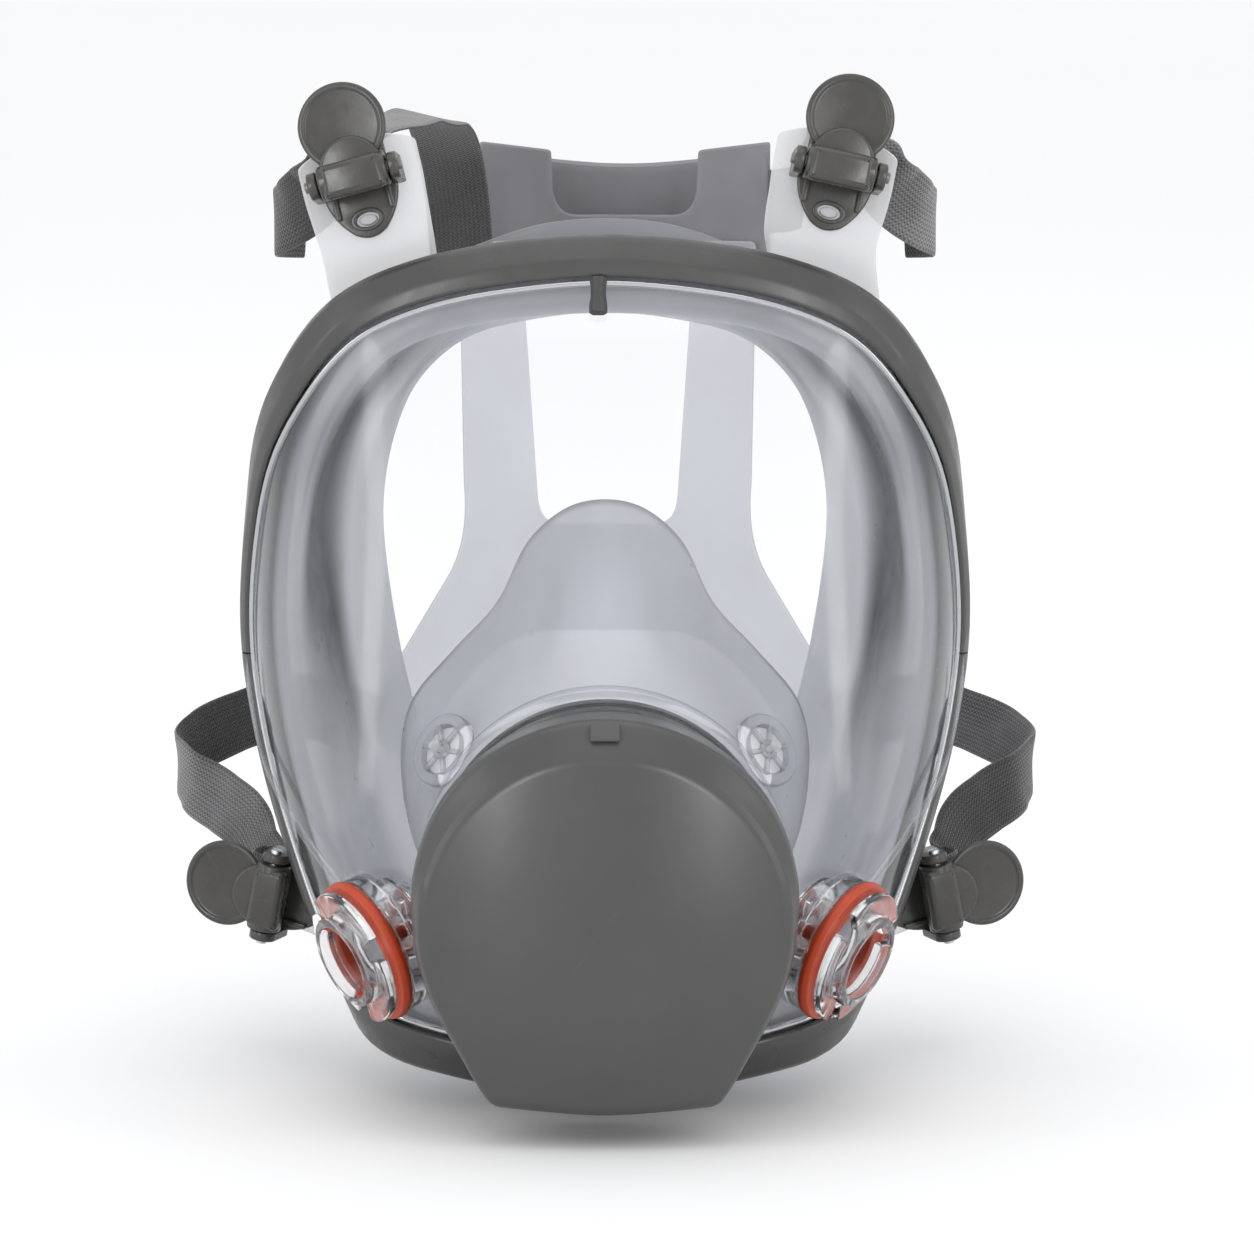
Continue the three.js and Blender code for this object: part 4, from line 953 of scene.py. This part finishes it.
def valve_cover():
    """A domed shield with a bevel that is wide at its top and dies out towards its foot."""
    edge = loop_through(COVER_EDGE, 312)
    reach = edge - [0, 0, COVER_CENTRE_Z]
    upward = np.clip(reach[:, 2] / np.hypot(reach[:, 0], reach[:, 2]), -0.2, 1)
    bevel = 0.016 + 0.1 * np.clip(upward + 0.2, 0, 1.2) ** 1.2
    knots = np.arange(8)
    near = np.unique(np.r_[(knots[:-1, None] + [0, 0.06, 0.3, 0.5, 0.7, 0.94]).ravel(), 7])
    one = np.ones_like(bevel)
    shares = np.stack([one, 1.002 * one, 0.999 * one, 1 - bevel, 0.97 - bevel, 0.66 * one, 0.36 * one,
                       0.02 * one])
    rims = [1, 0.6, 0.3, 0.05, 0, 0, 0, 0]
    share = np.stack([np.interp(near, knots, column) for column in shares.T])
    rim = np.interp(near, knots, rims)
    x = edge[:, :1] * share
    z = COVER_CENTRE_Z + (edge[:, 2:] - COVER_CENTRE_Z) * share
    front = -130 + 0.0052 * x**2 + 0.0019 * (z - COVER_CENTRE_Z) ** 2
    rows = np.stack([x, front * (1 - rim) + edge[:, 1:2] * rim, z], -1)
    normals = grid_normals(rows, True)
    outward = np.sign(np.mean(-normals[..., 1]))
    outer, inner = rows + normals * 2 * outward, rows
    rim_edge = (outer[:, :1] + inner[:, :1]) / 2 + [0, 0.6, 0]
    rings = np.concatenate([outer[:, ::-1], rim_edge, inner], 1)
    shell = skin(rings, wrap_rows=True, fill_columns=True)
    key = rounded_box(-3.4, 3.4, -2.4, 2.4, 0, 0.9, 0.6, 0.3)
    return merged(shell, placed(key, turned_by(50, "X", (0, -125.3, -16.6))))


piece("valve_cover", valve_cover(), COVER_GREY, "grey_plastic", "valve_cover", sharp=40)

# ---- nose cup
NOSE_CUP_RINGS = [
    [[30.4 * math.sin(math.radians(a)), y, PORT_Z + 30.4 * math.cos(math.radians(a))]
     for a in PORT_ANGLES] for y in (-88.5, -80)
] + [
    [[0, -68, -14], [9, -67, -16], [18, -65, -21], [27, -62, -28], [36, -58, -38], [41, -56, -50],
     [41, -56, -60], [38, -57, -69], [31, -59, -77], [22, -61, -83], [11, -62, -86], [0, -62, -87]],
    [[0, -44, 8], [8, -43, 5.5], [15, -42, -2], [24, -40, -12], [37, -36, -26], [46, -33, -40],
     [48, -33, -52], [45, -36, -63], [37, -40, -73], [26, -44, -80], [13, -46, -84], [0, -47, -85]],
    [[0, -18, 24.5], [9, -17, 22.5], [18.5, -16, 14.5], [27, -15, -2], [38, -15, -14],
     [48.5, -16, -27], [51, -18, -42], [47.5, -23, -57], [39, -29, -68], [28, -34, -76],
     [14, -38, -81], [0, -40, -82.5]],
]


def cup_valve_matrix(side):
    z = unit(vec(0.66 * side, -0.62, 0.42))
    x = unit(np.cross(UP, z))
    return basis(x, np.cross(z, x), z, vec(39.5 * side, -52, -33))


def nose_cup():
    rings = [loop_through(ring, 176) for ring in NOSE_CUP_RINGS]
    half = np.full(40, CUP_T / 2)
    half[-4:] = [0.85, 0.75, 0.65, 0.5]
    base = sheet(across_rings(rings, 40), half, half, closed=True)
    holes = [placed(lathe([[0, -12], [8.6, -12], [8.6, 12], [0, 12]], 0, 64), cup_valve_matrix(side))
             for side in (1, -1)]
    carved("nose_cup", base, [], holes, CUP_SILICONE, "silicone", ["nose_cup"], 60)


nose_cup()


def cup_valve_seat():
    parts = [
        lathe([[6.4, -1.5], [8.9, -1.5], [9.3, -0.9], [9.3, 0.9], [8.9, 1.5], [6.4, 1.5]], 0.3, 64),
        lathe([[1.2, 0.2], [2.5, 0.2], [2.5, 1.4], [1.2, 1.4]], 0.2, 32),
    ]
    for angle in range(0, 360, 60):
        parts.append(placed(rounded_box(2.2, 6.8, -0.6, 0.6, 0.2, 1.4, 0.2, 0.2), turned_by(angle)))
    return merged(*parts)


# ---- filter ports
def filter_port():
    """The bayonet port: a flange, a neck open right through, three lugs and inner spokes."""
    body = lathe([[9.4, -6], [13.9, -6], [13.9, 0.1], [17.2, 0.1], [17.2, 4], [11.6, 4],
                  [11.6, 12.6], [11, 13.2], [9.4, 13.2]], 0.5, 128)
    lug = np.vstack([arc(16.7, -50, 50, 40), arc(10.8, 50, -50, 28)])
    parts = [body, lathe([[1.9, -5], [4.4, -5], [4.4, -3], [1.9, -3]], 0.3, 48)]
    for angle in (-42, 78, 198):
        parts.append(placed(plate([rounded(lug, 0.9)], 8.4, 10.4, 0.4), turned_by(angle)))
    for angle in range(0, 360, 60):
        parts.append(placed(rounded_box(4.2, 10.4, -0.7, 0.7, -4.8, -3.2, 0.3, 0.25), turned_by(angle)))
    return merged(*parts)


PORT_GASKET = [[11.95, 4.35], [17.5, 4.35], [17.9, 5.6], [17.5, 7.2], [16, 7.2], [15.6, 6.9],
               [14.2, 6.9], [13.8, 7.2], [11.95, 7.2]]
INHALATION_VALVE = [[0, -7.8], [11.6, -7.1], [11.6, -6.4], [3, -5.6], [1.5, -5.4], [1.5, -1],
                    [2.5, -0.6], [1, 1.4], [0, 1.4]]
CUP_FLAP = [[0, -0.9], [6, -0.9], [6, -0.15], [0.9, -0.15], [0.9, 3.1], [1.7, 3.4], [0.6, 4.8], [0, 4.8]]
for word, side in (("left", -1), ("right", 1)):
    port, cup = port_matrix(side), cup_valve_matrix(side)
    for kind, part, where, material, slot, body in (
        ("filter_port", filter_port(), port, PORT_CLEAR, "clear_plastic", "mask"),
        ("port_gasket", lathe(PORT_GASKET, 0.35, 128), port, GASKET_ORANGE, "orange_gasket", "mask"),
        ("inhalation_valve", lathe(INHALATION_VALVE), port, GASKET_ORANGE, "silicone",
         f"inhalation_valve_{word}"),
        ("cup_valve_seat", cup_valve_seat(), cup, SEAT_SILICONE, "pale_plastic", "mask"),
        ("cup_valve_flap", lathe(CUP_FLAP), cup, TAB_SILICONE, "silicone", f"cup_valve_{word}"),
    ):
        piece(f"{kind}_{word}", placed(part, where), material, slot, body)


# ---- harness
def strap(name, controls, steps, start=None, stands_for=None):
    """A woven strap along a path of ([x, y, z], width direction), with its lengths as its UVs.

    It rides the mask; given a start, as the straps from the mask to the harness are, it is attached to
    no body.
    """
    share = np.linspace(0, 1, steps)
    at = spline([p for p, _ in controls], share)
    way = spline([unit(vec(*w)) for _, w in controls], share)
    tangent = unit(np.gradient(at, axis=0))
    way = unit(way - tangent * np.sum(way * tangent, 1, keepdims=True))
    across = np.linspace(-STRAP_W / 2, STRAP_W / 2, 13)
    rows = at[:, None] + way[:, None] * across[None, :, None]
    edge = np.full(13, STRAP_T / 2)
    edge[[0, -1]] *= 0.8
    obj = piece(name, sheet(rows, edge, edge), WEBBING, "webbing", None if start else "mask",
                stands_for, 60)
    length = np.r_[0, np.cumsum(np.linalg.norm(np.diff(at, axis=0), axis=1))] * MM
    ring_across = np.r_[across, STRAP_W / 2, across[::-1], -STRAP_W / 2] * MM
    # the inner side's lengths are shifted, and the webbing paints shade on that side
    ring_across[:13] += INNER_SIDE
    u, v = (grid.ravel() for grid in np.meshgrid(length, ring_across, indexing="ij"))
    layer = obj.data.uv_layers.new(name="lengths")
    corners = np.empty(len(obj.data.loops), int)
    obj.data.loops.foreach_get("vertex_index", corners)
    layer.data.foreach_set("uv", np.stack([u[corners], v[corners]], 1).ravel())
    if start:
        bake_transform(obj)


def in_buckle(name, y, z):
    matrix = buckle_matrix(name)
    return matrix[:3, :3] @ vec(0, y, z) + matrix[:3, 3], matrix[:3, 0]


def through_buckle(name, tip):
    return [in_buckle(name, y, z) for y, z in (
        (-2.6, 2.95), (2.5, 2.95), (tip - 2.5, 2.8), (tip + 2.3, 0.8), (tip + 3, -5), (tip + 1, -10))]


UPPER_RUNS = {
    "upper_left": [
        ([-60.5, -22, 115.5], [1, 0.25, 0.2]), ([-55, -6, 117], [0.9, 0.5, 0.1]),
        ([-49, 14, 118.5], [0.8, 0.65, -0.05]), ([-43.5, 33, 116.5], [0.8, 0.6, -0.3]),
        ([-40.5, 47, 107.5], [0.9, 0.4, -0.3]), ([-38.6, 53.6, 95], [1, 0.15, -0.15]),
        ([-37.5, 55.8, 80], [1, 0, 0])],
    "upper_right": [
        ([58, -22, 114.5], [1, -0.2, -0.1]), ([56.5, 2, 109.5], [1, -0.1, 0]),
        ([56, 28, 106], [1, 0, 0.2]), ([55.5, 48, 100], [0.8, -0.2, 0.6]),
        ([51, 60, 95.5], [0.3, -0.1, 1]), ([43.5, 64.8, 94], [0, 0, 1]), ([37, 66.8, 94], [0, 0, 1])],
}
TAIL = [
    ([65.5, -30, 109], [0.45, 0.1, -0.9]), ([71.5, -30, 102], [0.25, 0.1, -1]),
    ([77.5, -27.5, 97], [0.1, 0.1, -1]), ([81.2, -22, 94.5], [0, 0, -1]),
    ([80, -14, 93.5], [0, 0, -1]), ([75, -9, 93], [0, 0, -1]),
]
LOWER_RUN = [
    ([88.5, -3.5, -66], [0, 0, 1]), ([92, -1, -60], [0, 0, 1]), ([98, 1.5, -55.5], [0, 0, 1]),
    ([106, 5, -50.5], [0.1, 0, 1]), ([109.5, 12, -46.5], [0, 0, 1]), ([105, 19, -42.5], [-0.1, 0, 1]),
    ([94, 25, -38], [-0.3, 0, 1]), ([82, 32, -35.5], [-0.2, 0, 1]), ([75, 39.5, -37.5], [-0.2, 0.1, 1]),
    ([68, 45, -40.7], [-0.34, 0.15, 0.92]), ([60, 48.3, -44], [-0.34, 0.15, 0.92]),
]


def mirror_run(controls):
    return [([-x, y, z], [-a, b, c]) for (x, y, z), (a, b, c) in controls]


for word, side in (("left", -1), ("right", 1)):
    upper, lower = f"upper_{word}", f"lower_{word}"
    strap(f"strap_{upper}", through_buckle(upper, 9.5) + UPPER_RUNS[upper], 150,
          (0, -0.02, 0.1))
    tail = TAIL if side > 0 else mirror_run(TAIL)
    strap(f"strap_tail_{word}", [in_buckle(upper, 10.9, -8.5), *tail], 70, stands_for=())
    run = LOWER_RUN if side > 0 else mirror_run(LOWER_RUN)
    strap(f"strap_{lower}", through_buckle(lower, 6.5) + run, 180,
          (0, -0.002, -0.05))


def behind_head(x, y):
    return y - HEAD_CURVE * x**2


def bent_panel(loops, centre, y, thickness, edge):
    """A plate drawn in x-z, cut into narrow strips and bent to the curve behind the head."""
    points, faces = plate(loops, -thickness / 2, thickness / 2, edge)
    strips = bmesh.new()
    verts = [strips.verts.new(p) for p in points]
    for face in faces:
        strips.faces.new([verts[k] for k in face])
    bmesh.ops.remove_doubles(strips, verts=strips.verts, dist=1e-4)
    for axis, reach in ((0, 74), (1, 110)):
        normal = (1, 0, 0) if axis == 0 else (0, 1, 0)
        for place in np.arange(-reach, reach + 1, 2.5 if axis == 0 else 6):
            everything = strips.verts[:] + strips.edges[:] + strips.faces[:]
            bmesh.ops.bisect_plane(strips, geom=everything, plane_co=[n * place for n in normal],
                                   plane_no=normal)
    strips.verts.index_update()
    flat = np.array([v.co for v in strips.verts], float)
    faces = [tuple(v.index for v in face.verts) for face in strips.faces]
    strips.free()
    x = flat[:, 0] + centre
    slope = -2 * HEAD_CURVE * x
    away = np.stack([-slope, np.ones_like(x), 0 * x], 1) / np.sqrt(1 + slope**2)[:, None]
    at = np.stack([x, behind_head(x, y), flat[:, 1]], 1)
    return at + away * flat[:, 2:], faces


def crown():
    outline = np.vstack([
        [[-38, 80], [38, 80], [38, 110], [19.5, 107.6]], curve_to((19, 97), (18, 90.5), (12.5, 90.5)),
        curve_to((-12.5, 90.5), (-18, 90.5), (-19, 97)), [[-19.5, 107.6], [-38, 110]],
    ])
    panel = bent_panel([rounded(outline, 0.8, 3)], CROWN_X, CROWN_Y, 3, 0.6)
    share = np.linspace(-1, 1, 60)
    bow = 13 * (1 - share**4)
    top = 105 - 2.6 * (1 - share**2)
    x = CROWN_X + 25 * share
    levels = np.linspace(0, 1, 10)
    z = 86 + (top[:, None] - 86) * levels
    rows = np.stack([x[:, None] + 0 * z, (behind_head(x, CROWN_Y) + bow)[:, None] + 0 * z, z], -1)
    return merged(panel, sheet(rows, 1.1, 1.1))


def cradle():
    half = np.vstack([
        [[39, 84], [38, 20]], curve_to((38, 20), (36.5, 4), (43, -6))[1:], [[66, -44], [52, -56]],
        curve_to((52, -56), (38, -24), (18, -20))[1:],
    ])
    outline = np.vstack([half, half[::-1] * [-1, 1]])
    window_half = np.vstack([[[22.6, 76]], curve_to((18.6, 16), (18, 8.5), (12, 8.5))])
    window = np.vstack([window_half, window_half[::-1] * [-1, 1]])
    return bent_panel([rounded(outline, 1.5, 3), rounded(window, 1.5, 3)], CRADLE_X, CRADLE_Y, 2, 0.5)


piece("crown_panel", crown(), CROWN_GREY, "crown_plastic", "harness")
piece("back_cradle", cradle(), CRADLE_SILICONE, "silicone", "harness")


# ---- floor, light and camera
def floor():
    material, tree = new_material("studio_floor")
    tone = ramp(tree, noise(tree, coordinates(tree), 0.6), 0.955, 0.965)
    shader = node(tree, "BsdfPrincipled", {"Base Color": tone, "Roughness": 0.8})
    show(tree, shader)
    mesh = bpy.data.meshes.new("floor")
    reach = 40
    mesh.from_pydata([(-reach, -reach, FLOOR_Z), (reach, -reach, FLOOR_Z),
                      (reach, reach, FLOOR_Z), (-reach, reach, FLOOR_Z)], [], [(0, 1, 2, 3)])
    obj = new_object("floor", mesh)
    mesh.materials.append(material)
    obj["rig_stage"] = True


def area_light(name, at, target, width, height, power):
    light = bpy.data.lights.new(name, "AREA")
    light.shape = "RECTANGLE"
    light.size, light.size_y = width, height
    light.energy = power
    obj = new_object(name, light)
    obj.location = at
    obj.rotation_euler = (Vector(target) - obj.location).to_track_quat("-Z", "Y").to_euler()
    return obj


def opaque_pieces():
    """The pieces that the front lights fall on, so that they don't glare on the clear ones."""
    group = bpy.data.collections.new("opaque_pieces")
    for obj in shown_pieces():
        if "clear" not in obj.get("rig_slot", "") and "silicone" not in obj.get("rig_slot", ""):
            group.objects.link(obj)
    return group


def studio():
    floor()
    world = bpy.data.worlds.new("studio")
    bpy.context.scene.world = world
    world.use_nodes = True
    background = world.node_tree.nodes["Background"]
    background.inputs["Color"].default_value = (0.985, 0.99, 1, 1)
    background.inputs["Strength"].default_value = 1.0
    lit_in_front = opaque_pieces()
    area_light("overhead", (0, -0.1, 1.9), (0, 0, 0), 1.6, 1.6, 6)
    for side in (-1, 1):
        front = area_light(f"front_{side}", (1.0 * side, -1.75, 0.3), (0, -0.03, -0.02), 0.3, 1.5, 14)
        front.light_linking.receiver_collection = lit_in_front
        area_light(f"side_{side}", (1.7 * side, -0.5, 0.3), (0, -0.03, 0), 0.25, 1.6, 4)


def camera():
    data = bpy.data.cameras.new("camera")
    data.sensor_width = 36
    data.lens = 149.3
    data.shift_x = 0.0175
    data.shift_y = -0.0215
    obj = new_object("camera", data)
    aim = Vector((0, -0.022, 0))
    elevation = math.radians(8)
    away = Vector((0, -math.cos(elevation), math.sin(elevation)))
    obj.location = aim + away * 1.3
    obj.rotation_euler = (-away).to_track_quat("-Z", "Y").to_euler()
    bpy.context.scene.camera = obj


studio()
camera()
bpy.context.scene.view_settings.view_transform = "Standard"
